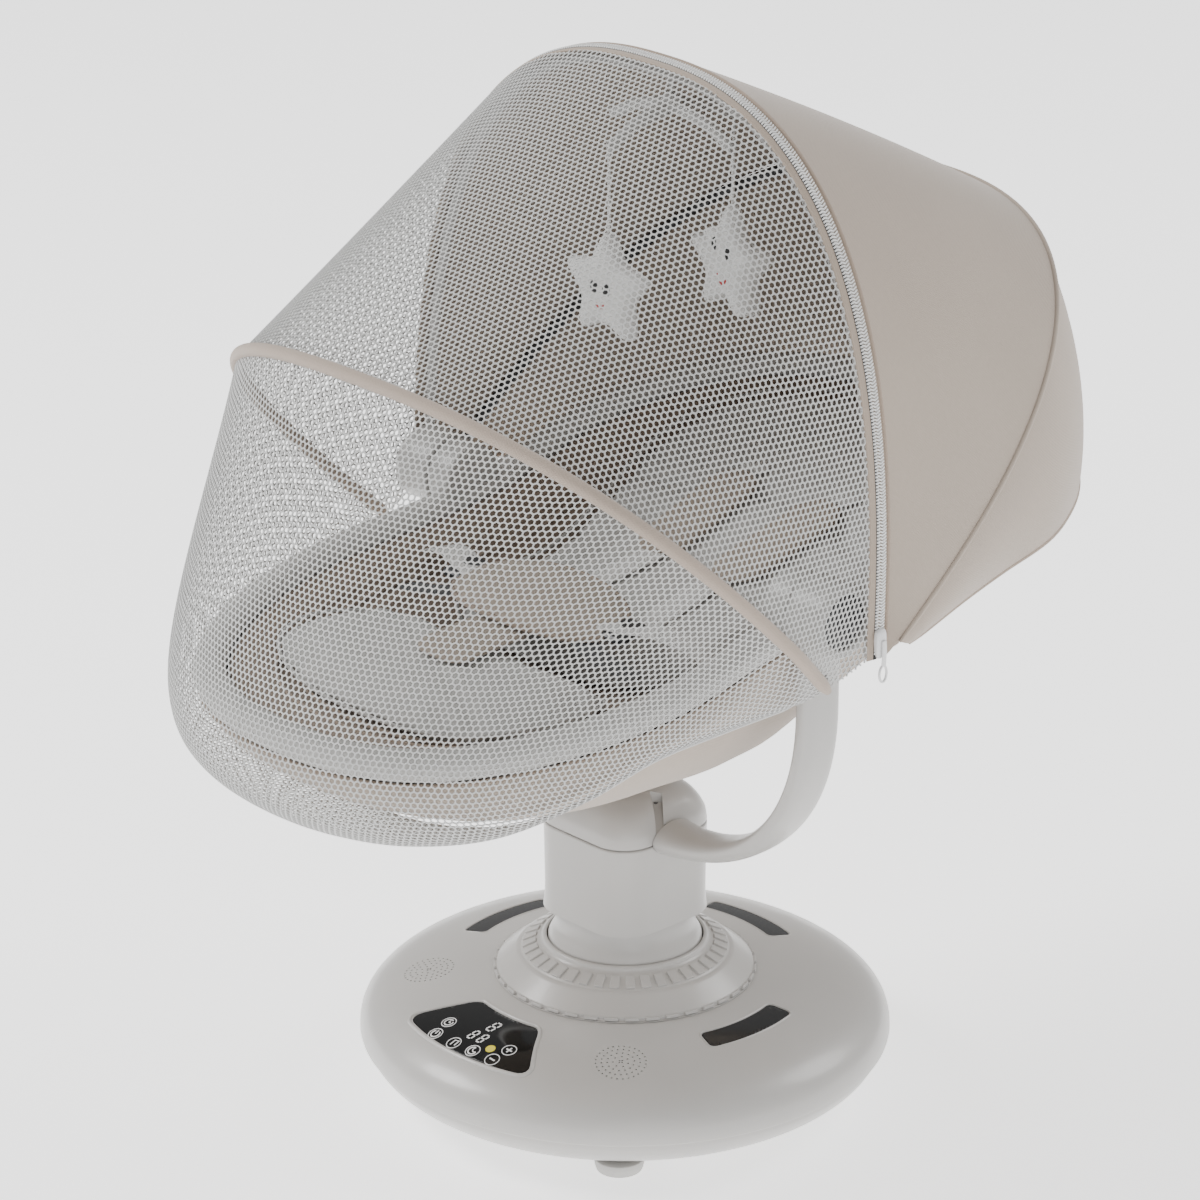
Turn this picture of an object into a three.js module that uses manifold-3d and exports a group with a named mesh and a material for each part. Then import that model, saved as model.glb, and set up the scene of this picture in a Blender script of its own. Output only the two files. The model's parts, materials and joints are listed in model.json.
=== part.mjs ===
// Electric baby swing: round base, turning column with two arms, reclining bassinet seat,
// folding hood with a mosquito net on a hoop, and a spinning toy mobile.
// Millimetres, +Z up, origin on the floor under the middle of the base, foot end towards -Y.

import * as THREE from 'three';
import { mergeVertices } from 'three/addons/utils/BufferGeometryUtils.js';
import Module from 'manifold-3d';

const wasm = await Module();
wasm.setup();

// ---------------------------------------------------------------- driving dimensions

const BASE_R = 200;
const BASE_SEAM_Z = 39.7;
const DOME_HEIGHT = 48;
const DOME_FOOT_Z = 44;
const SHELL_WALL = 3;
const BASE_FLOOR_Z = 10;
const DOME_HOLE_R = 96;
const FOOT_R = 18.5;
const FOOT_RING_R = 155;

const WINDOW_R = [123, 141.4];
const WINDOW_HALF_ANGLE = 17;
const PANEL_R = [121, 172];
const PANEL_HALF_ANGLE = 22.5;
const PANEL_NARROWING = 0.7;
const WINDOW_CORNER = 4;
const PANEL_CORNER = 9;
const INLET_R = 5;
const INLET_Z = 52;
const BOARD_SIZE = [78, 40, 1.6];
const BOARD_AT = [0, -143, 62];
const SPEAKER_R = 17.5;
const GRILLE_R = 19.5;
const GRILLE_AT = [105, -104];

const NECK_R = 57.8;
const NECK_TOP_Z = 139.7;
const COLUMN_HALF = 51;
const COLUMN_SEAM_Z = 211;
const SHAFT_R = 12;
const SHAFT_LENGTH = 114;
const SHAFT_MIDDLE_Z = 73;
const BEARING_R = 20;
const MOTOR_R = 17.5;
const MOTOR_LENGTH = 34;
const MOTOR_MIDDLE_Z = 31.5;

const GEAR_MODULE = 2;
const SECTOR_TEETH = 48;
const PINION_TEETH = 12;
const GEAR_BACKLASH = 0.4;
const GEAR_Z = 50;
const GEAR_WIDTH = 7;
const PRESSURE_ANGLE = 20;

const HUB_Z = 435;
const HUB_R = 28;
const HUB_X = [190, 224];
const ARM_X = 197.5;
const ARM_ROOT_Z = 213;

const RIM_Z = 418.8;
const RIM_TILT = THREE.MathUtils.degToRad(7.2);
const RIM_HALF = [12, 11];
const BOWL_DEPTH = 152;
const BOWL_CENTRE_V = 30;

const BOW_PIVOT = [24, 410];
const ARCH = { halfWidth: 239.5, height: 361, power: 2.5, y: 15.5, z: 431.5, lean: 1.5, leg: 23 };
const REAR_BOW = { halfWidth: 244, height: 352, power: 2.5, shoulder: 28, foot: 12, lean: 51 };
const HOOP = { halfWidth: 245, height: 262, power: 2.5, shoulder: 100, y: 1.7, z: 365, lean: -45 };
const HOOP_END = [234, -27.5, 394];
const ROD_R = 4;
const HOOP_R = 5;
const HOOP_CLEAR = HOOP_R + 1.8;
const NET_THICKNESS = 2;
const HOOD_THICKNESS = 3;

const MOBILE_Y = 45;
const MOBILE_HUB_Z = 756;
const MOBILE_REACH = 62;
const MOBILE_ARM_END_Z = 735;

const GAP = 0.3;

// ---------------------------------------------------------------- finishes

const finish = (color, roughness, metalness = 0) =>
  new THREE.MeshStandardMaterial({ color, roughness, metalness });

const WHITE = finish(0xf0ece6, 0.35);
const WARM_WHITE = finish(0xe9e3da, 0.4);
const BLACK_GLASS = finish(0x121214, 0.08);
const SMOKED = finish(0x2b2a29, 0.12);
const DARK_GREY = finish(0x4a4b4d, 0.4);
const RUBBER = finish(0xa9a7a2, 0.8);
const STEEL = finish(0xa9acb0, 0.3, 1);
const BOARD_GREEN = finish(0x2e5a3c, 0.6);
const BEIGE = finish(0xc2b29e, 0.9);
const DEEP_BEIGE = finish(0xa8927a, 0.9);
const CUSHION = finish(0xdad7d0, 0.95);
const NETTING = finish(0xe6e6e2, 0.8);
const TOY = finish(0xf4f3ef, 0.85);

const model = new THREE.Group();

function add(name, geometry, material) {
  const mesh = new THREE.Mesh(geometry, material);
  mesh.name = name;
  model.add(mesh);
  return mesh;
}

// ---------------------------------------------------------------- geometry helpers

const vec = (x, y, z) => new THREE.Vector3(x, y, z);
const rad = THREE.MathUtils.degToRad;

function signedVolume(points, faces) {
  let volume = 0;
  for (const [a, b, c] of faces) {
    volume += points[a].dot(points[b].clone().cross(points[c]));
  }
  return volume / 6;
}

// A closed surface from points and triangles, turned so that its faces point out.
function closedSurface(points, faces) {
  const outward = signedVolume(points, faces) > 0;
  const index = faces.flatMap(([a, b, c]) => (outward ? [a, b, c] : [a, c, b]));
  const geometry = new THREE.BufferGeometry();
  const flat = points.flatMap((p) => [p.x, p.y, p.z]);
  geometry.setAttribute('position', new THREE.Float32BufferAttribute(flat, 3));
  geometry.setIndex(index);
  return geometry;
}

function quad(faces, a, b, c, d) {
  faces.push([a, b, c], [a, c, d]);
}

// Skin through a row of closed rings. Open rows get a fan cap at each end.
function loft(rings, closedRow = false) {
  const size = rings[0].length;
  const points = rings.flat();
  const faces = [];
  const spans = closedRow ? rings.length : rings.length - 1;
  for (let i = 0; i < spans; i++) {
    const next = (i + 1) % rings.length;
    for (let j = 0; j < size; j++) {
      const k = (j + 1) % size;
      quad(faces, i * size + j, i * size + k, next * size + k, next * size + j);
    }
  }
  if (!closedRow) {
    const last = (rings.length - 1) * size;
    const middle = (ring) => ring.reduce((sum, p) => sum.add(p), vec(0, 0, 0)).divideScalar(size);
    points.push(middle(rings[0]), middle(rings[rings.length - 1]));
    for (let j = 0; j < size; j++) {
      const k = (j + 1) % size;
      faces.push([k, j, points.length - 2], [last + j, last + k, points.length - 1]);
    }
  }
  return closedSurface(points, faces);
}

// A grid of points given a thickness, half to each side.
function thickSheet(grid, thickness) {
  const rows = grid.length;
  const cols = grid[0].length;
  const at = (i, j) => grid[THREE.MathUtils.clamp(i, 0, rows - 1)][THREE.MathUtils.clamp(j, 0, cols - 1)];
  const front = [];
  const back = [];
  for (let i = 0; i < rows; i++) {
    for (let j = 0; j < cols; j++) {
      const across = at(i, j + 1).clone().sub(at(i, j - 1));
      const along = at(i + 1, j).clone().sub(at(i - 1, j));
      const normal = across.cross(along).normalize().multiplyScalar(thickness / 2);
      front.push(at(i, j).clone().add(normal));
      back.push(at(i, j).clone().sub(normal));
    }
  }
  const count = rows * cols;
  const id = (i, j) => i * cols + j;
  const faces = [];
  for (let i = 0; i < rows - 1; i++) {
    for (let j = 0; j < cols - 1; j++) {
      quad(faces, id(i, j), id(i, j + 1), id(i + 1, j + 1), id(i + 1, j));
      quad(faces, count + id(i, j), count + id(i + 1, j), count + id(i + 1, j + 1), count + id(i, j + 1));
    }
  }
  const edge = [];
  for (let j = 0; j < cols - 1; j++) edge.push([id(0, j), id(0, j + 1)]);
  for (let i = 0; i < rows - 1; i++) edge.push([id(i, cols - 1), id(i + 1, cols - 1)]);
  for (let j = cols - 1; j > 0; j--) edge.push([id(rows - 1, j), id(rows - 1, j - 1)]);
  for (let i = rows - 1; i > 0; i--) edge.push([id(i, 0), id(i - 1, 0)]);
  for (const [a, b] of edge) quad(faces, b, a, count + a, count + b);
  return closedSurface([...front, ...back], faces);
}

const circle = (radius, count) => new THREE.Shape(
  Array.from({ length: count }, (_, i) => {
    const angle = (2 * Math.PI * i) / count;
    return new THREE.Vector2(radius * Math.cos(angle), radius * Math.sin(angle));
  }),
);

function tube(points, radius, steps, sides = 8) {
  const extrudePath = new THREE.CatmullRomCurve3(points);
  return new THREE.ExtrudeGeometry(circle(radius, sides), { steps, extrudePath });
}

// A turned body, with its faces pointing out whichever way its profile runs.
function turned(profile, segments) {
  const skin = new THREE.LatheGeometry(profile.map(([r, z]) => new THREE.Vector2(r, z)), segments);
  skin.deleteAttribute('normal');
  skin.deleteAttribute('uv');
  const merged = mergeVertices(skin, 1e-4);
  const { position } = merged.attributes;
  const pointAt = (i) => vec(0, 0, 0).fromBufferAttribute(position, i);
  const points = Array.from({ length: position.count }, (_, i) => pointAt(i));
  const corners = Array.from(merged.index.array);
  const faces = Array.from({ length: corners.length / 3 }, (_, i) => corners.slice(3 * i, 3 * i + 3))
    .filter(([a, b, c]) => a !== b && b !== c && c !== a);
  return closedSurface(points, faces);
}

const lathe = (profile, segments = 36) => turned(profile, segments).rotateX(Math.PI / 2);

// A turned piece about the hub axis: each profile point is a radius and a place along +X.
const latheX = (profile, segments = 20) =>
  turned(profile, segments).rotateZ(-Math.PI / 2).translate(0, 0, HUB_Z);

// A shape in the XY plane raised by a depth from a height.
function prism(shape, depth, z) {
  return new THREE.ExtrudeGeometry(shape, { depth, bevelEnabled: false }).translate(0, 0, z);
}

function cylinder(radius, length, segments) {
  return new THREE.CylinderGeometry(radius, radius, length, segments);
}

function box(size, at) {
  return new THREE.BoxGeometry(...size).translate(...at);
}

function toSolid(geometry) {
  const plain = geometry.clone();
  plain.deleteAttribute('normal');
  plain.deleteAttribute('uv');
  const merged = mergeVertices(plain, 1e-4);
  return new wasm.Manifold(new wasm.Mesh({
    numProp: 3,
    vertProperties: new Float32Array(merged.attributes.position.array),
    triVerts: new Uint32Array(merged.index.array),
  }));
}

function fromSolid(solid) {
  const { vertProperties, triVerts } = solid.getMesh();
  const geometry = new THREE.BufferGeometry();
  geometry.setAttribute('position', new THREE.BufferAttribute(new Float32Array(vertProperties), 3));
  geometry.setIndex(new THREE.BufferAttribute(new Uint32Array(triVerts), 1));
  return geometry;
}

const cut = (geometry, ...tools) =>
  fromSolid(tools.reduce((solid, tool) => solid.subtract(toSolid(tool)), toSolid(geometry)));
const join = (first, ...others) =>
  fromSolid(others.reduce((solid, part) => solid.add(toSolid(part)), toSolid(first)));
const common = (a, b) => fromSolid(toSolid(a).intersect(toSolid(b)));

// The left-hand twin of a right-hand piece.
function mirrored(geometry) {
  const twin = geometry.index ? geometry.clone() : mergeVertices(geometry);
  twin.scale(-1, 1, 1);
  const index = twin.index.array;
  for (let i = 0; i < index.length; i += 3) [index[i + 1], index[i + 2]] = [index[i + 2], index[i + 1]];
  return twin;
}

function addPair(name, geometry, material) {
  add(`${name}_right`, geometry, material);
  add(`${name}_left`, mirrored(geometry), material);
}

// Superellipse point at an angle from the +u axis.
function superellipse(angle, a, b, power) {
  const c = Math.cos(angle);
  const s = Math.sin(angle);
  return [
    a * Math.sign(c) * Math.abs(c) ** (2 / power),
    b * Math.sign(s) * Math.abs(s) ** (2 / power),
  ];
}

function roundedRect(width, height, corner, steps) {
  const outline = [];
  const centres = [[1, 1], [-1, 1], [-1, -1], [1, -1]];
  centres.forEach(([sx, sy], quarter) => {
    for (let i = 0; i <= steps; i++) {
      const angle = (Math.PI / 2) * (quarter + i / steps);
      outline.push([
        sx * (width / 2 - corner) + corner * Math.cos(angle),
        sy * (height / 2 - corner) + corner * Math.sin(angle),
      ]);
    }
  });
  return outline;
}

// A bar through stations, each with a centre, two half sizes and the directions they run in.
function bar(stations, sides = 12, power = 3) {
  return loft(stations.map(({ at, across, up, half }) => Array.from({ length: sides }, (_, i) => {
    const [a, b] = superellipse((2 * Math.PI * (i + 0.5)) / sides, half[0], half[1], power);
    return at.clone().addScaledVector(across, a).addScaledVector(up, b);
  })));
}

const spread = (count, from, to) =>
  Array.from({ length: count + 1 }, (_, i) => from + ((to - from) * i) / count);

// ---------------------------------------------------------------- base

const domeZ = (r, reach = BASE_R, foot = DOME_FOOT_Z) =>
  foot + DOME_HEIGHT * Math.max(0, 1 - (r / reach) ** 3) ** (1 / 2.6);

const DOME_RADII = [DOME_HOLE_R, 122, 144, 162, 177, 188, 195, 199];

function buildBaseBottom() {
  const cupOuter = BEARING_R + 4;
  const cupInner = BEARING_R + GAP;
  return lathe([
    [0, BASE_FLOOR_Z], [150, BASE_FLOOR_Z], [168, 13.5], [182, 20], [191, 28], [195.5, 36], [196, 39.4],
    [193, 39.4], [188, 29.5], [179.5, 22.5], [166, 16.3], [150, 13],
    [cupOuter, 13], [cupOuter, 30], [cupInner, 30], [cupInner, 15.7], [0, 15.7],
  ]);
}

// A block on a piece of a ring, whose inner edge may span a smaller angle than its outer one.
function sectorPrism([inner, outer], halfAngle, corner, facing, grow = 0, narrowing = 1) {
  const middle = (inner + outer) / 2;
  const width = 2 * rad(halfAngle) * middle + 2 * grow;
  const outline = roundedRect(width, outer - inner + 2 * grow, corner + grow, 2);
  const dense = outline.flatMap(([s, r], i) => {
    const [s2, r2] = outline[(i + 1) % outline.length];
    const steps = Math.abs(s2 - s) > 20 ? 4 : 1;
    const part = (k) => [s + ((s2 - s) * k) / steps, r + ((r2 - r) * k) / steps];
    return Array.from({ length: steps }, (_, k) => part(k));
  });
  const shape = new THREE.Shape(dense.map(([s, r]) => {
    const share = 0.5 + r / (outer - inner);
    const angle = rad(facing) + (s / middle) * THREE.MathUtils.lerp(narrowing, 1, share);
    return new THREE.Vector2((middle + r) * Math.cos(angle), (middle + r) * Math.sin(angle));
  }));
  return prism(shape, 60, 50);
}

// A slab that follows the dome, from its surface plus a rise down to a thickness.
function domeSlab(from, to, rise, thickness) {
  const radii = spread(3, from, to);
  const top = radii.map((r) => [r, domeZ(r) + rise]);
  const bottom = radii.map((r) => [r, domeZ(r) + rise - thickness]).reverse();
  return lathe([...top, ...bottom, top[0]], 72);
}

function grilleFrame(radius, thickness, sink) {
  const [x, y] = GRILLE_AT;
  const r = Math.hypot(x, y);
  const slope = Math.atan2(domeZ(r - 1) - domeZ(r + 1), 2);
  const disc = cylinder(radius, thickness, 32).rotateX(Math.PI / 2);
  return disc
    .translate(0, 0, -sink - thickness / 2)
    .rotateY(slope)
    .rotateZ(Math.atan2(y, x))
    .translate(x, y, domeZ(r));
}

const WINDOWS = { window_right: 0, window_rear: 90, window_left: 180 };
const PANEL_FACING = -90;

const panelPrism = (grow = 0) =>
  sectorPrism(PANEL_R, PANEL_HALF_ANGLE, PANEL_CORNER, PANEL_FACING, grow, PANEL_NARROWING);

function buildBaseTop() {
  const innerR = BASE_R - SHELL_WALL;
  const inner = DOME_RADII.slice(0, -1)
    .map((r) => [Math.min(r, innerR - 0.5), domeZ(r, innerR, DOME_FOOT_Z - SHELL_WALL)])
    .reverse();
  const outer = DOME_RADII.map((r) => [r, domeZ(r)]);
  const shell = lathe([
    ...outer, [BASE_R, DOME_FOOT_Z], [199, 41], [197, BASE_SEAM_Z], [193.5, BASE_SEAM_Z], [196.5, 42],
    ...inner, outer[0],
  ]);
  const pockets = Object.values(WINDOWS)
    .map((facing) => sectorPrism(WINDOW_R, WINDOW_HALF_ANGLE, WINDOW_CORNER, facing, GAP));
  const grilleHole = grilleFrame(GRILLE_R + GAP, 20, -10);
  return cut(
    shell,
    ...pockets,
    panelPrism(GAP),
    grilleHole,
    mirrored(grilleHole),
    cylinder(INLET_R + 0.4, 30, 20).translate(0, BASE_R - 5, INLET_Z),
  );
}

function buildCollar() {
  return lathe([
    [90, 90.4], [99, 90.4], [99, 92.6], [96.4, 93.6], [82, 104.6],
    [62, 114.2], [62, 117], [58.8, 117.8], [58.8, 112], [80, 101.5], [90, 94], [90, 90.4],
  ]);
}

const ring = (inner, outer, low, high, segments = 24) =>
  lathe([[inner, low], [outer, low], [outer, high], [inner, high], [inner, low]], segments);

function buildGrille() {
  const disc = grilleFrame(GRILLE_R, 2, 0.3);
  const [x, y] = GRILLE_AT;
  const z = domeZ(Math.hypot(x, y));
  const holes = [];
  [[0, 1], [11, 6]].forEach(([reach, count]) => {
    for (let i = 0; i < count; i++) {
      const angle = (2 * Math.PI * i) / count;
      const hole = cylinder(1.3, 30, 6).rotateX(Math.PI / 2);
      holes.push(hole.translate(x + reach * Math.cos(angle), y + reach * Math.sin(angle), z));
    }
  });
  return cut(disc, ...holes);
}

function buildBase() {
  add('base_bottom_shell', buildBaseBottom(), WHITE);
  add('base_top_shell', buildBaseTop(), WHITE);
  const feet = { foot_front_right: -45, foot_rear_right: 45, foot_rear_left: 135, foot_front_left: -135 };
  const footTop = BASE_FLOOR_Z - GAP;
  for (const [name, angle] of Object.entries(feet)) {
    const foot = lathe([[0, 0], [FOOT_R - 2, 0], [FOOT_R, 2], [FOOT_R, footTop], [0, footTop]], 20);
    foot.translate(FOOT_RING_R * Math.cos(rad(angle)), FOOT_RING_R * Math.sin(rad(angle)), 0);
    add(name, foot, RUBBER);
  }
  add('collar_cover', buildCollar(), WHITE);
  for (const [name, facing] of Object.entries(WINDOWS)) {
    const slab = domeSlab(118, 146, 0.2, 2.4);
    const window = sectorPrism(WINDOW_R, WINDOW_HALF_ANGLE, WINDOW_CORNER, facing);
    add(name, common(slab, window), SMOKED);
  }
  add('touch_panel', common(domeSlab(116, 176, 0.4, 2.6), panelPrism()), BLACK_GLASS);
  add('control_board', box(BOARD_SIZE, BOARD_AT), BOARD_GREEN);
  addPair('speaker_grille', buildGrille(), WHITE);
  addPair('speaker', grilleFrame(SPEAKER_R, 12, 6), DARK_GREY);

  const hub = BEARING_R + GAP;
  add('bearing_plate', lathe([
    [hub, 84], [88, 84], [88, 87.5], [25, 87.5], [25, 103], [hub, 103], [hub, 84],
  ]), DARK_GREY);
  add('upper_bearing', ring(SHAFT_R + GAP, BEARING_R, 92, 102), STEEL);
  add('lower_bearing', ring(SHAFT_R + GAP, BEARING_R, 16, 26), STEEL);
  add('drive_motor', cylinder(MOTOR_R, MOTOR_LENGTH, 24)
    .rotateX(Math.PI / 2).translate(0, gearDistance(), MOTOR_MIDDLE_Z), STEEL);
  add('dc_inlet', lathe([[0, 0], [INLET_R, 0], [INLET_R, 17], [2.8, 17], [2.8, 3], [0, 3]], 20)
    .rotateX(-Math.PI / 2).translate(0, BASE_R - 18, INLET_Z), DARK_GREY);
}

// ---------------------------------------------------------------- swing drive

const gearDistance = () => (GEAR_MODULE * (SECTOR_TEETH + PINION_TEETH)) / 2 + GAP;

// Tooth flanks as straight lines at the pressure angle, thinned by the backlash.
function toothPoints(teeth, angle) {
  const pitch = (GEAR_MODULE * teeth) / 2;
  const flank = Math.tan(rad(PRESSURE_ANGLE));
  const half = (Math.PI * GEAR_MODULE) / 4 - GEAR_BACKLASH / 2;
  const radii = [pitch - 1.1 * GEAR_MODULE, pitch, pitch + 0.8 * GEAR_MODULE];
  const sides = radii.map((r) => [r, (half - (r - pitch) * flank) / r]);
  const left = sides.map(([r, a]) => [r, angle - a]);
  const right = sides.map(([r, a]) => [r, angle + a]).reverse();
  return [...left, ...right].map(([r, a]) => new THREE.Vector2(r * Math.cos(a), r * Math.sin(a)));
}

function buildSectorGear() {
  const step = (2 * Math.PI) / SECTOR_TEETH;
  const outline = [];
  for (let i = -4.5; i <= 4.5; i++) outline.push(...toothPoints(SECTOR_TEETH, Math.PI / 2 + i * step));
  const hubR = SHAFT_R + 9;
  for (const angle of spread(12, rad(150), rad(390))) {
    outline.push(new THREE.Vector2(hubR * Math.cos(angle), hubR * Math.sin(angle)));
  }
  const shape = new THREE.Shape(outline);
  shape.holes.push(circle(SHAFT_R + GAP, 28));
  return prism(shape, GEAR_WIDTH, GEAR_Z);
}

function buildPinion() {
  const outline = [];
  for (let i = 0; i < PINION_TEETH; i++) {
    outline.push(...toothPoints(PINION_TEETH, -Math.PI / 2 + (2 * Math.PI * i) / PINION_TEETH));
  }
  return prism(new THREE.Shape(outline), GEAR_WIDTH + 2, GEAR_Z - 1).translate(0, gearDistance(), 0);
}

// ---------------------------------------------------------------- column and arms

function squareRing(z, half, corner) {
  return roundedRect(2 * half, 2 * half, corner, 3).map(([x, y]) => vec(x, y, z));
}

function cupOf(outer, inner) {
  return loft([...outer, ...inner.reverse()]);
}

// Stations of the column: height, half width and corner radius.
const HOUSING_OUTSIDE = [
  [140, 53, 31], [145, 51.6, 29], [154, 50.6, 28], [180, 50.6, 27],
  [COLUMN_SEAM_Z - GAP, COLUMN_HALF, 27],
];
const HOUSING_INSIDE = [[143, 47.5, 25], [180, 47.5, 25], [COLUMN_SEAM_Z - GAP, 48, 25]];
const CAP_OUTSIDE = [
  [248, 11, 10.9], [245.2, 25, 22], [240.5, 36, 27], [233, 44.5, 28], [222, 50, 28],
  [COLUMN_SEAM_Z + GAP, COLUMN_HALF, 27],
];

function buildColumnHousing() {
  return cupOf(HOUSING_OUTSIDE.map((r) => squareRing(...r)), HOUSING_INSIDE.map((r) => squareRing(...r)));
}

function buildColumnCap() {
  const outer = CAP_OUTSIDE;
  const seam = COLUMN_SEAM_Z + GAP;
  const inner = outer.map(([z, half, corner]) => [Math.max(z - 3, seam), half - 3, corner - 2.8]);
  return cupOf(outer.map((r) => squareRing(...r)), inner.map((r) => squareRing(...r)));
}

function buildArm() {
  const path = new THREE.CubicBezierCurve3(
    vec(COLUMN_HALF + 2 * GAP, 0, ARM_ROOT_Z),
    vec(140, 0, ARM_ROOT_Z),
    vec(ARM_X, 0, 270),
    vec(ARM_X, 0, 360),
  );
  const station = (at, tangent, t) => ({
    at,
    across: vec(-tangent.z, 0, tangent.x),
    up: vec(0, 1, 0),
    half: [8 + 5 * Math.exp(-t * 9), 18 + 3 * Math.exp(-t * 9)],
  });
  const stations = spread(13, 0, 1).map((t) => station(path.getPointAt(t), path.getTangentAt(t), t));
  stations.push(station(vec(ARM_X, 0, HUB_Z - 8), vec(0, 0, 1), 1));
  const hubSpace = latheX([[0, 150], [HUB_R + GAP, 150], [HUB_R + GAP, 240], [0, 240]]);
  return cut(bar(stations, 10), hubSpace);
}

const [HUB_IN, HUB_OUT] = HUB_X;
const BUTTON_R = 19.6;
const PIN_R = 6;

function buildYoke() {
  const shaft = cylinder(SHAFT_R, SHAFT_LENGTH, 28).rotateX(Math.PI / 2);
  add('swing_shaft', shaft.translate(0, 0, SHAFT_MIDDLE_Z), STEEL);
  add('sector_gear', buildSectorGear(), WARM_WHITE);
  add('motor_pinion', buildPinion(), WARM_WHITE);
  const neckBore = SHAFT_R + GAP;
  const floor = HUB_IN + 5;
  add('neck', lathe([
    [neckBore, 106], [NECK_R, 106], [NECK_R, 119], [54.5, 122.5], [51.5, 129], [50, NECK_TOP_Z],
    [46, NECK_TOP_Z], [47.5, 128], [51, 120], [53, 110], [neckBore, 110], [neckBore, 106],
  ]), WHITE);
  add('column_housing', buildColumnHousing(), WHITE);
  add('column_cap', buildColumnCap(), WHITE);
  addPair('arm', buildArm(), WHITE);
  addPair('hub_housing', latheX([
    [PIN_R + GAP, HUB_IN], [26.5, HUB_IN], [HUB_R, HUB_IN + 1.5], [HUB_R, HUB_OUT - 2], [26, HUB_OUT],
    [BUTTON_R + 0.6, HUB_OUT], [BUTTON_R + 0.6, floor], [PIN_R + GAP, floor], [PIN_R + GAP, HUB_IN],
  ]), WHITE);
  addPair('recline_button', latheX([
    [0, 207], [BUTTON_R, 207], [BUTTON_R, 221.6], [18.2, 223.2], [0, 223.2],
  ]), DARK_GREY);
  addPair('pivot_pin', latheX([
    [0, 167.5], [PIN_R, 167.5], [PIN_R, floor + GAP], [13, floor + GAP], [13, 199.6], [0, 199.6],
  ], 20), STEEL);
}

// ---------------------------------------------------------------- seat

// A point above the plane of the seat's rim: u to the right, v towards the head, h up.
const onRim = (u, v, h) => vec(
  u,
  v * Math.cos(RIM_TILT) - h * Math.sin(RIM_TILT),
  RIM_Z + v * Math.sin(RIM_TILT) + h * Math.cos(RIM_TILT),
);

// Right half of a closed outline from foot to head, mirrored into a smooth loop.
function loopThrough(half, count) {
  const left = half.slice(1, -1).reverse().map(([u, v]) => [-u, v]);
  const points = [...half, ...left].map(([u, v]) => vec(u, v, 0));
  const curve = new THREE.CatmullRomCurve3(points, true, 'centripetal');
  return curve.getSpacedPoints(count).slice(0, count).map((p) => [p.x, p.y]);
}

const RIM_HALF_OUTLINE = [
  [0, -334], [62, -327], [115, -302], [152, -258], [175, -205], [185, -140], [183, -90], [177, -40],
  [176, 0], [177, 38], [187, 84], [197, 138], [190, 222], [154, 293], [88, 329], [0, 339],
];

function offset(outline, distance) {
  const count = outline.length;
  return outline.map(([u, v], i) => {
    const [u0, v0] = outline[(i + count - 1) % count];
    const [u1, v1] = outline[(i + 1) % count];
    const length = Math.hypot(u1 - u0, v1 - v0);
    return [u + (distance * (v1 - v0)) / length, v - (distance * (u1 - u0)) / length];
  });
}

const towardsCentre = (outline, share) =>
  outline.map(([u, v]) => [u * share, BOWL_CENTRE_V + (v - BOWL_CENTRE_V) * share]);

// From the rim out towards the pivot of the hood's bows, ending short of the rear bow.
const BRACKET_ROUTE = [[182, 52, 421], [205, 43.5, 420], [228.4, 34, 414]];

function buildRim() {
  const outline = loopThrough(RIM_HALF_OUTLINE, 44);
  const sides = 6;
  const rings = Array.from({ length: sides }, (_, i) => {
    const [across, up] = superellipse((2 * Math.PI * (i + 0.5)) / sides, RIM_HALF[0], RIM_HALF[1], 2.6);
    return offset(outline, across).map(([u, v]) => onRim(u, v, up));
  });
  const rim = loft(rings, true);
  const boss = latheX([[0, 165.5], [24.5, 165.5], [26, 167], [26, HUB_IN - 0.8], [0, HUB_IN - 0.8]]);
  const bore = latheX([[0, 150], [PIN_R + GAP, 150], [PIN_R + GAP, 195], [0, 195]], 20);
  const bracket = bar(BRACKET_ROUTE.map((at) => ({
    at: vec(...at),
    across: vec(0.35, 0.94, 0),
    up: vec(0, 0, 1),
    half: [6, 5],
  })), 8);
  const whole = join(rim, boss, mirrored(boss), bracket, mirrored(bracket));
  return cut(whole, bore, mirrored(bore));
}

// Depth of the outer bowl below its top edge, at a share of the way to an edge point at v.
// The foot end slopes up evenly and the head end is shallow.
function bowlDepth(share, v) {
  const foot = THREE.MathUtils.smoothstep(-v, 0, 200);
  const head = THREE.MathUtils.smoothstep(v, 0, 200);
  const p = 1.96 - 0.65 * foot;
  const q = 1.56 + 0.1 * foot;
  const reduced = 1 - 0.7 * head * share ** 0.6;
  return BOWL_DEPTH * reduced * Math.max(0, 1 - share ** p) ** (1 / q);
}

const BOWL_SHARES = [0.12, 0.36, 0.6, 0.8, 0.94, 1];
const BOWL_OFFSET = 8;
const BOWL_TOP_H = -RIM_HALF[1] - 0.8;

function bowlRings(outline, lift) {
  return BOWL_SHARES.map((share) => towardsCentre(outline, share).map(([u, v], i) =>
    onRim(u, v, BOWL_TOP_H - Math.max(0, bowlDepth(share, outline[i][1]) - lift))));
}

function buildSeatShell() {
  const outline = loopThrough(RIM_HALF_OUTLINE, 30);
  const outer = bowlRings(offset(outline, BOWL_OFFSET), 0);
  const inner = bowlRings(offset(outline, BOWL_OFFSET - SHELL_WALL), SHELL_WALL);
  return loft([...outer, ...inner.reverse()]);
}

const LINER_INSET = 13.6;
const LINER_OUTLINE = offset(loopThrough(RIM_HALF_OUTLINE, 120), -LINER_INSET);

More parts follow.
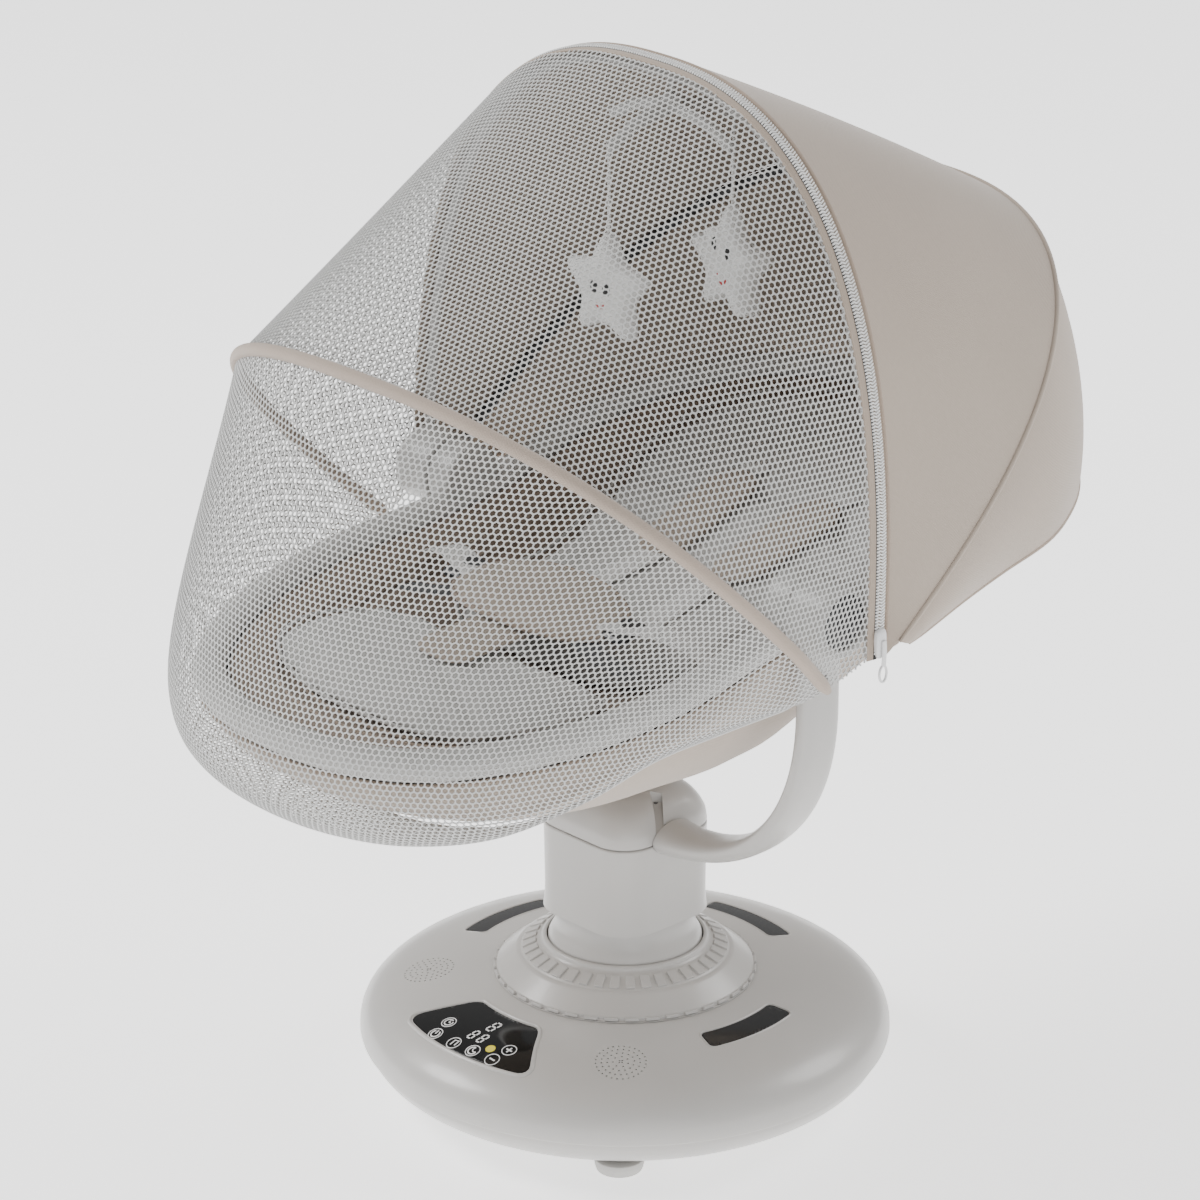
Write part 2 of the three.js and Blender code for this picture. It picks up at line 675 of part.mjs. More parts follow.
// How far a point lies from the bowl's centre towards the liner's edge, 0 to 1.
function linerShare(u, v) {
  const angle = Math.atan2(v - BOWL_CENTRE_V, u);
  let best = LINER_OUTLINE[0];
  let least = Infinity;
  for (const p of LINER_OUTLINE) {
    const turn = Math.abs(Math.atan2(Math.sin(angle - pointAngle(p)), Math.cos(angle - pointAngle(p))));
    if (turn < least) {
      least = turn;
      best = p;
    }
  }
  return Math.hypot(u, v - BOWL_CENTRE_V) / Math.hypot(best[0], best[1] - BOWL_CENTRE_V);
}

const pointAngle = ([u, v]) => Math.atan2(v - BOWL_CENTRE_V, u);
const sling = (v) => 40 + 24 * Math.exp(-(((v - 30) / 130) ** 2));
const linerH = (u, v) => 2 - (sling(v) + 2) * Math.max(0, 1 - linerShare(u, v) ** 4);

function buildLiner() {
  const outline = offset(loopThrough(RIM_HALF_OUTLINE, 30), -LINER_INSET);
  const shares = [0.2, 0.55, 0.76, 0.89, 0.96, 1];
  const surface = (loop, sink) => shares.map((share) => towardsCentre(loop, share)
    .map(([u, v]) => onRim(u, v, linerH(u, v) - sink * (1 - share ** 6))));
  const lower = surface(outline, 3);
  const upper = surface(offset(outline, -3), 0);
  return loft([...lower, ...upper.reverse()]);
}

// A pad on the liner: an outline, a crowned top and an underside that follows the liner.
function padOnLiner(half, thickness, centre, count) {
  const outline = loopThrough(half, count);
  const shares = [0.2, 0.55, 0.85, 1];
  const ringAt = (share, h) => outline.map(([u, v]) => {
    const [pu, pv] = [u * share, centre + (v - centre) * share];
    return onRim(pu, pv, linerH(pu, pv) + h);
  });
  const crown = (share) => PAD_LIFT + 3 + (thickness - 3) * (1 - share ** 3.5);
  const under = shares.map((share) => ringAt(share, PAD_LIFT));
  const over = shares.map((share) => ringAt(share * 0.985, crown(share)));
  return loft([...under, ...over.reverse()]);
}

const INSERT_OUTLINE = [
  [0, -106], [70, -103], [110, -80], [123, -35], [124, 30], [145, 110],
  [158, 180], [149, 240], [114, 285], [58, 307], [0, 313],
];
const FOOT_OUTLINE = [
  [0, -274], [70, -267], [120, -244], [141, -205], [138, -160], [116, -124], [60, -116], [0, -115],
];
const INSERT_THICKNESS = 23;
const FOOT_THICKNESS = 26;
const PAD_LIFT = 4.5;

const insertTopH = (u, v) => linerH(u, v) + PAD_LIFT + INSERT_THICKNESS;

const BELLY = { halfWidth: 79, halfLength: 43, v: -86, droop: 6 };

function buildBellyPad() {
  const { halfWidth, halfLength, v: middle, droop } = BELLY;
  const count = 28;
  const ringAt = (share, h) => Array.from({ length: count }, (_, i) => {
    const [u, v] = superellipse((2 * Math.PI * i) / count, halfWidth * share, halfLength * share, 2.2);
    return onRim(u, v + middle, h - droop * (u / halfWidth) ** 2);
  });
  return loft([ringAt(0.3, 0), ringAt(0.94, 0.5), ringAt(1, 5), ringAt(0.93, 10), ringAt(0.3, 13)]);
}

const alongRim = (v0, v1, h0, h1) => onRim(0, v1, h1).sub(onRim(0, v0, h0)).normalize();
const SIDEWAYS = vec(1, 0, 0);

function buildCrotchStrap() {
  const route = [[-112, -4.5], [-140, -2], [-170, 0.4], [-190, 0.4]];
  return bar(route.map(([v, h], i) => {
    const [v0, h0] = route[Math.max(0, i - 1)];
    const [v1, h1] = route[Math.min(route.length - 1, i + 1)];
    const up = alongRim(v0, v1, h0, h1).cross(SIDEWAYS);
    return { at: onRim(0, v, h), across: SIDEWAYS, up, half: [27, 3] };
  }), 12, 4);
}

function buildShoulderPad() {
  return bar([[56, 0.6], [62, 1], [95, 1], [130, 1], [163, 1], [169, 0.6]].map(([v, share]) => {
    const u = 38 + ((v - 56) / 113) * 7;
    return {
      at: onRim(u, v, insertTopH(u, v) + 7.5),
      across: SIDEWAYS,
      up: alongRim(v - 5, v + 5, insertTopH(u, v - 5), insertTopH(u, v + 5)).cross(SIDEWAYS).negate(),
      half: [22.5 * share, 5.5 * share],
    };
  }), 12, 3);
}

function buildWaistStrap() {
  const route = [[85, -78, 2], [105, -72, 3], [128, -64, -3], [145, -58, -12]];
  return bar(route.map(([u, v, h]) => ({
    at: onRim(u, v, h),
    across: vec(0.2, 0.98, 0),
    up: vec(0.35, 0, 0.93),
    half: [12.5, 1.2],
  })), 8, 4);
}

function buildSeat() {
  add('seat_rim', buildRim(), WHITE);
  add('seat_shell', buildSeatShell(), BEIGE);
  add('seat_liner', buildLiner(), BEIGE);
  add('infant_insert', padOnLiner(INSERT_OUTLINE, INSERT_THICKNESS, 90, 30), CUSHION);
  add('foot_cushion', padOnLiner(FOOT_OUTLINE, FOOT_THICKNESS, -190, 26), CUSHION);
  add('belly_pad', buildBellyPad(), BEIGE);
  add('crotch_strap', buildCrotchStrap(), BEIGE);
  addPair('shoulder_pad', buildShoulderPad(), BEIGE);
  addPair('waist_strap', buildWaistStrap(), WHITE);
}

// ---------------------------------------------------------------- hood, bows and net

// Places (u, v) of a bow into the plane that leans back by an angle from upright.
const leaning = (y, z, lean) => (u, v) =>
  vec(u, y + v * Math.sin(rad(lean)), z + v * Math.cos(rad(lean)));

const onArch = leaning(ARCH.y, ARCH.z, ARCH.lean);
const onRearBow = leaning(BOW_PIVOT[0], BOW_PIVOT[1], REAR_BOW.lean);
const onHoop = leaning(HOOP.y, HOOP.z, HOOP.lean);

function arcPoints(place, { halfWidth, height, power }, inset = 0, base = 0, count = 24) {
  return spread(count, 0, Math.PI).map((angle) => {
    const [u, v] = superellipse(angle, halfWidth - inset, height - inset, power);
    return place(u, base + v);
  });
}

const withLegs = (points, foot) => [foot, ...points, vec(-foot.x, foot.y, foot.z)];
const smooth = (points) => new THREE.CatmullRomCurve3(points, false, 'centripetal');
const evenly = (points, count) => smooth(points).getSpacedPoints(count);

const archLine = (inset = 0, shiftY = 0) => withLegs(
  arcPoints(onArch, ARCH, inset),
  onArch(ARCH.halfWidth - inset, -ARCH.leg),
).map((p) => p.clone().add(vec(0, shiftY, 0)));

const rearBowLine = (inset = 0) => withLegs(
  arcPoints(onRearBow, REAR_BOW, inset, REAR_BOW.shoulder),
  onRearBow(REAR_BOW.halfWidth - inset, REAR_BOW.foot),
);

const hoopLine = () => withLegs(arcPoints(onHoop, HOOP, 0, HOOP.shoulder), vec(...HOOP_END));

function mirroredLine(half) {
  return [...half, ...half.slice(0, -1).reverse().map((p) => vec(-p.x, p.y, p.z))];
}

const HOOD_HEM = mirroredLine([
  [240, 47, -14], [231, 85, -15], [222, 125, -16], [215, 170, -16], [207.5, 228, -16],
  [192, 266, -16], [170, 301, -16], [142, 329, -16], [98, 350, -16], [0, 359, -16],
].map(([u, v, h]) => onRim(u, v, h)));

// Guide lines of the front net below the hoop: the widest line, the turn under, and the hem.
const NET_WAIST = mirroredLine([
  [232, -40, 392], [221, -95, 390], [211, -160, 388], [196, -225, 382],
  [166, -288, 376], [118, -334, 372], [60, -362, 370], [0, -370.8, 370],
].map((p) => vec(...p)));
const NET_TURN = mirroredLine([
  [220, -40, 384], [211, -95, 380], [201, -160, 373], [186, -220, 352],
  [155, -277, 334], [108, -315, 325], [55, -334, 321], [0, -340, 320],
].map((p) => vec(...p)));
const NET_HEM = mirroredLine([
  [208, -38, 377], [201, -95, 373], [192, -155, 366], [172, -196, 344],
  [134, -222, 319], [90, -238, 306], [45, -246, 299], [0, -248, 297],
].map((p) => vec(...p)));

// Fabric stretched between two lines, kept clear of the rods at its edges, with a slight belly.
function stretched(from, to, { clear, rows, cols, thickness, belly = 0 }) {
  const a = evenly(from, cols);
  const b = evenly(to, cols);
  const centre = vec(0, 60, 480);
  const grid = spread(rows, 0, 1).map((t) => a.map((start, j) => {
    const run = b[j].clone().sub(start);
    const length = run.length();
    const share = (clear[0] + (length - clear[0] - clear[1]) * t) / length;
    const point = start.clone().addScaledVector(run, share);
    const swell = belly * 4 * t * (1 - t) * Math.sin((Math.PI * j) / cols) ** 0.5;
    return point.addScaledVector(point.clone().sub(centre).normalize(), swell);
  }));
  return thickSheet(grid, thickness);
}

function buildFrontNet() {
  const cols = 18;
  const lines = [hoopLine(), NET_WAIST, NET_TURN, NET_HEM].map((line) => evenly(line, cols));
  const strips = lines[0].map((_, j) => smooth(lines.map((line) => line[j])));
  const starts = strips.map((strip) => HOOP_CLEAR / strip.getLength());
  const grid = spread(7, 0, 1)
    .map((t) => strips.map((strip, j) => strip.getPointAt(starts[j] + (1 - starts[j]) * t)));
  return thickSheet(grid, NET_THICKNESS);
}

function buildZipTape() {
  const steps = 22;
  const line = evenly(archLine(), steps);
  return bar(line.map((at, i) => {
    const along = line[Math.min(i + 1, steps)].clone().sub(line[Math.max(i - 1, 0)]).normalize();
    return { at, across: vec(0, 1, 0), up: vec(0, 1, 0).cross(along).negate(), half: [8.5, 1.3] };
  }), 6, 4);
}

const HOOD_BOW_INSET = 7;
const REAR_BOW_INSET = 8;

function buildHoodBow() {
  const bow = tube(evenly(archLine(HOOD_BOW_INSET), 40), ROD_R, 28, 6);
  const top = ARCH.z + ARCH.height - HOOD_BOW_INSET;
  const hanger = tube([
    vec(0, 24, top - 1),
    vec(0, 34, top - 5),
    vec(0, MOBILE_Y - 2, top - 12),
    vec(0, MOBILE_Y, MOBILE_HUB_Z + 10),
  ], 2.6, 6, 6);
  return join(bow, hanger);
}

// The slider hangs on the outside of the tape at the arch's right foot.
function buildZipSlider() {
  const stations = [[432, 1], [420, 1], [404, 0.7]];
  return bar(stations.map(([z, share]) => ({
    at: vec(ARCH.halfWidth + 3.3, ARCH.y, z),
    across: vec(0, 1, 0),
    up: vec(1, 0, 0),
    half: [4.5 * share, 1.6],
  })), 8);
}

function buildHood() {
  const grid = { rows: 4, cols: 18 };
  const back = { ...grid, clear: [3.2, 0], thickness: HOOD_THICKNESS, belly: 11 };
  const roof = { ...grid, clear: [0, 1.8], thickness: HOOD_THICKNESS, belly: 3 };
  const netRoof = { ...grid, clear: [0, HOOP_CLEAR], thickness: NET_THICKNESS };
  add('rear_bow', tube(evenly(rearBowLine(REAR_BOW_INSET), 36), ROD_R, 24, 6), DARK_GREY);
  add('hood_bow', buildHoodBow(), WHITE);
  add('hood_back', stretched(rearBowLine(), HOOD_HEM, back), BEIGE);
  add('hood_roof', stretched(archLine(0, 10), rearBowLine(), roof), BEIGE);
  add('zip_tape', buildZipTape(), DEEP_BEIGE);
  add('zip_slider', buildZipSlider(), NETTING);
  add('net_hoop', tube(evenly(hoopLine(), 44), HOOP_R, 30, 6), DEEP_BEIGE);
  add('net_roof', stretched(archLine(0, -10), hoopLine(), netRoof), NETTING);
  add('net_front', buildFrontNet(), NETTING);
}

// ---------------------------------------------------------------- mobile

const ARM_DIRECTIONS = [[0, -1], [1, 0], [0, 1], [-1, 0]];

function buildRotor() {
  const hub = lathe([[0, -8], [6, -7], [9, -1], [8, 5], [4, 9], [0, 9]], 16);
  hub.translate(0, MOBILE_Y, MOBILE_HUB_Z);
  const arms = ARM_DIRECTIONS.map(([x, y]) => tube([
    vec(3 * x, MOBILE_Y + 3 * y, MOBILE_HUB_Z - 2),
    vec(0.5 * MOBILE_REACH * x, MOBILE_Y + 0.5 * MOBILE_REACH * y, MOBILE_HUB_Z - 7),
    vec(MOBILE_REACH * x, MOBILE_Y + MOBILE_REACH * y, MOBILE_ARM_END_Z),
  ], 3, 3, 6));
  return join(hub, ...arms);
}

// An outline in the toy's own plane, blown up like a stuffed toy.
function stuffed(outline, thickness) {
  const ringAt = (share, y) => outline.map(([x, z]) => vec(x * share, y, z * share));
  const t = thickness / 2;
  const profile = [[0.45, -1], [0.85, -0.6], [1, 0], [0.85, 0.6], [0.45, 1]];
  return loft(profile.map(([share, y]) => ringAt(share, y * t)));
}

const TOY_TOP = 44;
const TOY_THICKNESS = 18;
const TOY_CORD_R = 1.2;

function buildToy([dx, dy], centreZ, turn = 0) {
  const x = MOBILE_REACH * dx;
  const y = MOBILE_Y + MOBILE_REACH * dy;
  const toy = stuffed(STAR, TOY_THICKNESS).rotateZ(rad(turn)).translate(x, y, centreZ);
  const low = centreZ + TOY_TOP - 4;
  const high = MOBILE_ARM_END_Z - 3.4;
  const cord = cylinder(TOY_CORD_R, high - low, 6).rotateX(Math.PI / 2);
  return join(toy, cord.translate(x, y, (high + low) / 2));
}

const STAR = Array.from({ length: 20 }, (_, i) => {
  const reach = [44, 33, 24, 33][i % 4];
  const angle = Math.PI / 2 + (2 * Math.PI * i) / 20;
  return [reach * Math.cos(angle), reach * Math.sin(angle)];
});

function buildMobile() {
  add('mobile_rotor', buildRotor(), WHITE);
  add('toy_star_front', buildToy(ARM_DIRECTIONS[0], 631), TOY);
  add('toy_star_right', buildToy(ARM_DIRECTIONS[1], 652, -23), TOY);
  add('toy_star_rear', buildToy(ARM_DIRECTIONS[2], 620), TOY);
}

buildBase();
buildYoke();
buildSeat();
buildHood();
buildMobile();

export default model;
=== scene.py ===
"""Looks of an electric baby swing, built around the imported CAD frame.

Everything is in metres in the CAD frame: +Z up, the foot end and the touch panel towards -Y.
"""
import json
import math

import bmesh
import bpy
import numpy as np
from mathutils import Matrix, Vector


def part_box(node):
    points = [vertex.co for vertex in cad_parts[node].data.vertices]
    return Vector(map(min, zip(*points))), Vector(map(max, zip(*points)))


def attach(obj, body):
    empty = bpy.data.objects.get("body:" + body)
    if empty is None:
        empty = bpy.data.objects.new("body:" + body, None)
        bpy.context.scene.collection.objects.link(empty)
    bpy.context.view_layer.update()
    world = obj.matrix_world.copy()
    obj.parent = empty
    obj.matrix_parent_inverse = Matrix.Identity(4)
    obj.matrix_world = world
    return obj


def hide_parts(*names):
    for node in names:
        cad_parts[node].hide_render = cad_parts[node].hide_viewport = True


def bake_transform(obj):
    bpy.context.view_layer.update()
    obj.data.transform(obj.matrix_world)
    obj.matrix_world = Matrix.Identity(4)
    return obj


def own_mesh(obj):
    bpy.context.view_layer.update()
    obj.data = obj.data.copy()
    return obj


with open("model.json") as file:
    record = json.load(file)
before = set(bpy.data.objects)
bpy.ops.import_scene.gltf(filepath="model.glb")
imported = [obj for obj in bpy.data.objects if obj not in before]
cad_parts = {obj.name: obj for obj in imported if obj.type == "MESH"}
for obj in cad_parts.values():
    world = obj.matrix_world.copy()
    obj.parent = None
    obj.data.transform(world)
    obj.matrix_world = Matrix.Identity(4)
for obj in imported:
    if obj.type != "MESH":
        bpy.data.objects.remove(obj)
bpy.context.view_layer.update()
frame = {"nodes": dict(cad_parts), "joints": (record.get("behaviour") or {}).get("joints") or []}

# ---------------------------------------------------------------- camera, light and floor

AZIMUTH, ELEVATION = math.radians(46.73), math.radians(22.11)
CAMERA_DISTANCE = 4.001
LENS = 163.9
LOOK_AT = Vector((-0.0129, -0.0137, 0.386))
FLOOR_GLOW = 1.3


def point_at(obj, target):
    obj.rotation_mode = "QUATERNION"
    obj.rotation_quaternion = (target - obj.location).to_track_quat("-Z", "Y")


def add_camera():
    data = bpy.data.cameras.new("camera")
    data.lens = LENS
    camera = bpy.data.objects.new("camera", data)
    bpy.context.scene.collection.objects.link(camera)
    back = Vector((
        math.sin(AZIMUTH) * math.cos(ELEVATION),
        -math.cos(AZIMUTH) * math.cos(ELEVATION),
        math.sin(ELEVATION),
    ))
    camera.location = LOOK_AT + CAMERA_DISTANCE * back
    point_at(camera, LOOK_AT)
    bpy.context.scene.camera = camera


def add_light(name, place, size, watts):
    data = bpy.data.lights.new(name, "AREA")
    data.shape = "DISK"
    data.size = size
    data.energy = watts
    light = bpy.data.objects.new(name, data)
    bpy.context.scene.collection.objects.link(light)
    light.location = place
    point_at(light, Vector((0, 0, 0.4)))


def add_studio():
    world = bpy.data.worlds.new("studio")
    bpy.context.scene.world = world
    world.use_nodes = True
    background = world.node_tree.nodes["Background"]
    background.inputs["Color"].default_value = (1.0, 1.0, 1.0, 1)
    background.inputs["Strength"].default_value = 0.62
    add_light("key", (-2.4, -1.8, 3.0), 1.8, 140)
    add_light("fill", (3.2, -2.2, 1.4), 2.8, 26)
    add_light("rim", (1.2, 3.0, 2.8), 2.0, 70)
    bpy.ops.mesh.primitive_plane_add(size=30, location=(0, 0, -0.0005))
    floor = bpy.context.object
    floor.name = "floor"
    white = plain("floor_white", (0.95, 0.95, 0.95), 0.8)
    principled(white).inputs["Emission Color"].default_value = (1, 1, 1, 1)
    principled(white).inputs["Emission Strength"].default_value = FLOOR_GLOW
    floor.data.materials.append(white)


# ---------------------------------------------------------------- materials

def principled(material):
    return material.node_tree.nodes["Principled BSDF"]


def shader(name, color, roughness, metallic=0.0, **sockets):
    """A Principled material whose plain numbers sit on its own sockets."""
    material = bpy.data.materials.new(name)
    material.use_nodes = True
    inputs = principled(material).inputs
    inputs["Base Color"].default_value = (*color, 1)
    inputs["Roughness"].default_value = roughness
    inputs["Metallic"].default_value = metallic
    for socket, value in sockets.items():
        inputs[socket.replace("_", " ")].default_value = value
    return material


def node(material, kind, **inputs):
    made = material.node_tree.nodes.new(kind)
    for key, value in inputs.items():
        made.inputs[key].default_value = value
    return made


def link(material, source, target, socket):
    output = source if isinstance(source, bpy.types.NodeSocket) else source.outputs[0]
    material.node_tree.links.new(output, target.inputs[socket])


def noise(material, scale, detail=3.0):
    coordinate = node(material, "ShaderNodeTexCoord")
    texture = node(material, "ShaderNodeTexNoise", Scale=scale, Detail=detail)
    link(material, coordinate.outputs["Object"], texture, "Vector")
    return texture.outputs["Fac"]


def ranged(material, source, low, high):
    fit = node(material, "ShaderNodeMapRange")
    fit.inputs["From Min"].default_value = 0.3
    fit.inputs["From Max"].default_value = 0.7
    fit.inputs["To Min"].default_value = low
    fit.inputs["To Max"].default_value = high
    link(material, source, fit, "Value")
    return fit.outputs["Result"]


def tinted(material, factor, dark, light):
    """Mixes two colours by a factor."""
    mix = node(material, "ShaderNodeMix")
    mix.data_type = "RGBA"
    mix.inputs[6].default_value = (*dark, 1)
    mix.inputs[7].default_value = (*light, 1)
    link(material, factor, mix, 0)
    return mix.outputs[2]


def mottled(material, color, scale, detail, dark, light=1.0):
    """Colours a material by noise, between two shares of its colour."""
    factor = ranged(material, noise(material, scale, detail), 0, 1)
    link(material, tinted(material, factor, shade(color, dark), shade(color, light)),
         principled(material), "Base Color")


def uneven_gloss(material, roughness, scale, detail, low, high):
    link(material, ranged(material, noise(material, scale, detail), roughness * low, roughness * high),
         principled(material), "Roughness")


def bumped(material, height, strength, distance):
    bump = node(material, "ShaderNodeBump", Strength=strength, Distance=distance)
    link(material, height, bump, "Height")
    link(material, bump, principled(material), "Normal")


def shade(color, share):
    return tuple(min(1.0, c * share) for c in color)


def plain(name, color, roughness):
    material = shader(name, color, roughness)
    mottled(material, color, 6, 3.0, 0.985)
    return material


def moulded(name, color, roughness, grain=0.04, coat=0.0):
    """Moulded plastic: faint flow mottling, uneven gloss and a fine spark-eroded grain."""
    material = shader(name, color, roughness, Coat_Weight=coat, Coat_Roughness=0.12)
    mottled(material, color, 14, 3.0, 0.965, 1.01)
    uneven_gloss(material, roughness, 55, 3.0, 0.88, 1.14)
    bumped(material, noise(material, 1400, 2), grain, 0.0004)
    return material


def brushed(name, color, roughness):
    material = shader(name, color, roughness, 1.0)
    uneven_gloss(material, roughness, 320, 4, 0.7, 1.3)
    mottled(material, color, 60, 3.0, 0.9)
    return material


def wave(material, scale, direction):
    coordinate = node(material, "ShaderNodeTexCoord")
    texture = node(material, "ShaderNodeTexWave", Scale=scale, Distortion=0.6, Detail=1.0)
    texture.bands_direction = direction
    link(material, coordinate.outputs["Object"], texture, "Vector")
    return texture.outputs["Fac"]


def calculated(material, operation, first, second, third=None):
    """A math node on sockets or plain numbers."""
    made = node(material, "ShaderNodeMath")
    made.operation = operation
    for index, value in enumerate((first, second, third)):
        if isinstance(value, float):
            made.inputs[index].default_value = value
        elif value is not None:
            link(material, value, made, index)
    return made


def woven(name, color, thread=0.0011, strength=0.22, sheen=0.25, contrast=0.06):
    """Cloth: crossing threads, slub mottling in the colour, soft sheen."""
    material = shader(name, color, 0.9, Sheen_Weight=sheen, Sheen_Roughness=0.45)
    scale = math.pi / (10 * thread)
    crossing = calculated(material, "MULTIPLY", wave(material, scale, "DIAGONAL"),
                          wave(material, scale, "Z"))
    slub = ranged(material, noise(material, 260, 4), 0, 1)
    broad = ranged(material, noise(material, 9, 2), 0, 1)
    total = calculated(material, "MULTIPLY_ADD", slub, 0.6, broad)
    factor = calculated(material, "MULTIPLY", total, 0.62)
    tint = tinted(material, factor, shade(color, 1 - contrast), shade(color, 1 + contrast * 0.5))
    link(material, tint, principled(material), "Base Color")
    bumped(material, crossing, strength, 0.0005)
    return material


def plush(name, color):
    """Short brushed pile."""
    material = shader(name, color, 0.95, Sheen_Weight=0.4, Sheen_Roughness=0.5)
    mottled(material, color, 420, 5, 0.9)
    bumped(material, noise(material, 900, 5), 0.5, 0.0012)
    return material


def glassy(name, color, roughness=0.06):
    material = shader(name, color, roughness, Specular_IOR_Level=0.25)
    uneven_gloss(material, roughness, 24, 3.0, 0.8, 1.6)
    return material


WHITE = moulded("white_plastic", (0.47, 0.458, 0.44), 0.33, coat=0.15)
WHITE_SATIN = moulded("white_satin", (0.55, 0.54, 0.52), 0.48)
GREY_RUBBER = moulded("foot_rubber", (0.55, 0.54, 0.52), 0.7, grain=0.15)
SMOKED = glassy("smoked_lens", (0.014, 0.014, 0.014), 0.1)
BLACK_GLASS = glassy("black_glass", (0.004, 0.004, 0.004))
# Dark plastic for the real dark parts; the same material is also painted shade in the column cap's hole.
DARK_PLASTIC_AND_HOLE_SHADE = moulded("dark_plastic", (0.05, 0.051, 0.053), 0.3, coat=0.2)
GEAR = moulded("gear_plastic", (0.7, 0.66, 0.58), 0.4)
STEEL = brushed("steel", (0.62, 0.63, 0.65), 0.28)
BOARD = moulded("circuit_board", (0.03, 0.13, 0.06), 0.4)
BEIGE = woven("beige_fabric", (0.40, 0.335, 0.277))
BEIGE_INSIDE = woven("beige_lining", (0.30, 0.232, 0.182))
PIPING = woven("piping_fabric", (0.36, 0.285, 0.228), thread=0.0016, strength=0.35)
HOOP_COVER = woven("hoop_fabric", (0.38, 0.31, 0.255), thread=0.0015, strength=0.35)
TAPE = woven("zip_tape_fabric", (0.38, 0.31, 0.25), thread=0.0008, strength=0.3)
CUSHION = woven("cushion_fabric", (0.52, 0.51, 0.49), thread=0.0013, sheen=0.35, contrast=0.08)
WEBBING = woven("webbing", (0.72, 0.71, 0.69), thread=0.0019, strength=0.6)
# Painted shadow: the dark strip under each waist strap, not a real strap.
PAINTED_STRAP_SHADOW = woven("painted_strap_shadow", (0.07, 0.07, 0.07), thread=0.0019, strength=0.6)
NET_YARN = woven("net_yarn", (0.52, 0.52, 0.51), thread=0.0009, strength=0.15, sheen=0.1)
COIL = moulded("zip_coil", (0.78, 0.78, 0.77), 0.35)
ENAMEL = moulded("zip_enamel", (0.74, 0.74, 0.74), 0.25, coat=0.4)
TOY = plush("toy_plush", (0.78, 0.77, 0.75))
PRINT_WHITE = plain("panel_print", (0.82, 0.82, 0.82), 0.4)
PRINT_YELLOW = plain("panel_lamp", (0.75, 0.65, 0.05), 0.35)
# Black thread for the toys' eyes; the same material is also painted shade in the zip's gap.
BLACK_THREAD_AND_GAP_SHADE = plain("black_thread_and_gap_shade", (0.012, 0.012, 0.012), 0.6)
RED_THREAD = plain("red_thread", (0.42, 0.02, 0.02), 0.7)


# ---------------------------------------------------------------- curves as arrays of points

def evenly(line, count):
    """count points spaced evenly along a polyline."""
    line = np.asarray(line, float)
    along = np.concatenate([[0], np.cumsum(np.linalg.norm(np.diff(line, axis=0), axis=1))])
    at = np.linspace(0, along[-1], count)
    return np.stack([np.interp(at, along, line[:, k]) for k in range(line.shape[1])], axis=1)


def spline(points, count, closed=False):
    """count points spaced evenly along the centripetal Catmull-Rom curve that the CAD model uses."""
    p = np.asarray(points, float)
    if closed:
        p = np.vstack([p[-1], p, p[:2]])
    else:
        p = np.vstack([2 * p[0] - p[1], p, 2 * p[-1] - p[-2]])
    dense = []
    for a, b, c, d in zip(p[:-3], p[1:-2], p[2:-1], p[3:]):
        t0 = 0.0
        t1 = t0 + np.linalg.norm(b - a) ** 0.5
        t2 = t1 + np.linalg.norm(c - b) ** 0.5
        t3 = t2 + np.linalg.norm(d - c) ** 0.5
        t = np.linspace(t1, t2, 20, endpoint=False)[:, None]
        ab = ((t1 - t) * a + (t - t0) * b) / (t1 - t0)
        bc = ((t2 - t) * b + (t - t1) * c) / (t2 - t1)
        cd = ((t3 - t) * c + (t - t2) * d) / (t3 - t2)
        abc = ((t2 - t) * ab + (t - t0) * bc) / (t2 - t0)
        bcd = ((t3 - t) * bc + (t - t1) * cd) / (t3 - t1)
        dense.append(((t2 - t) * abc + (t - t1) * bcd) / (t2 - t1))
    dense.append(p[-2:-1])
    if closed:
        return evenly(np.vstack(dense), count + 1)[:-1]
    return evenly(np.vstack(dense), count)


def superellipse(angles, a, b, power):
    c, s = np.cos(angles), np.sin(angles)
    return np.stack([
        a * np.sign(c) * np.abs(c) ** (2 / power),
        b * np.sign(s) * np.abs(s) ** (2 / power),
    ], axis=-1)


def round_section(a, b=None, power=2.0, sides=14):
    angles = 2 * np.pi * np.arange(sides) / sides
    return superellipse(angles, a, a if b is None else b, power)


def rounded_rect(width, height, corner, steps=8):
    outline = []
    for quarter, (sx, sy) in enumerate(((1, 1), (-1, 1), (-1, -1), (1, -1))):
        for i in range(steps + 1):
            angle = math.pi / 2 * (quarter + i / steps)
            outline.append((
                sx * (width / 2 - corner) + corner * math.cos(angle),
                sy * (height / 2 - corner) + corner * math.sin(angle),
            ))
    return np.array(outline)


def unit(v):
    return v / np.maximum(np.linalg.norm(v, axis=-1, keepdims=True), 1e-12)


# ---------------------------------------------------------------- mesh helpers

def make(name, points, faces, material, sharp=35.0):
    """A mesh object with outward faces, smooth except at edges sharper than an angle in degrees."""
    mesh = bpy.data.meshes.new(name)
    mesh.from_pydata(np.asarray(points, float).reshape(-1, 3).tolist(), [], faces)
    tidy = bmesh.new()
    tidy.from_mesh(mesh)
    bmesh.ops.recalc_face_normals(tidy, faces=tidy.faces)
    tidy.to_mesh(mesh)
    tidy.free()
    mesh.materials.append(material)
    mesh.shade_smooth()
    if sharp < 180:
        mesh.set_sharp_from_angle(angle=math.radians(sharp))
    obj = bpy.data.objects.new(name, mesh)
    bpy.context.scene.collection.objects.link(obj)
    return obj


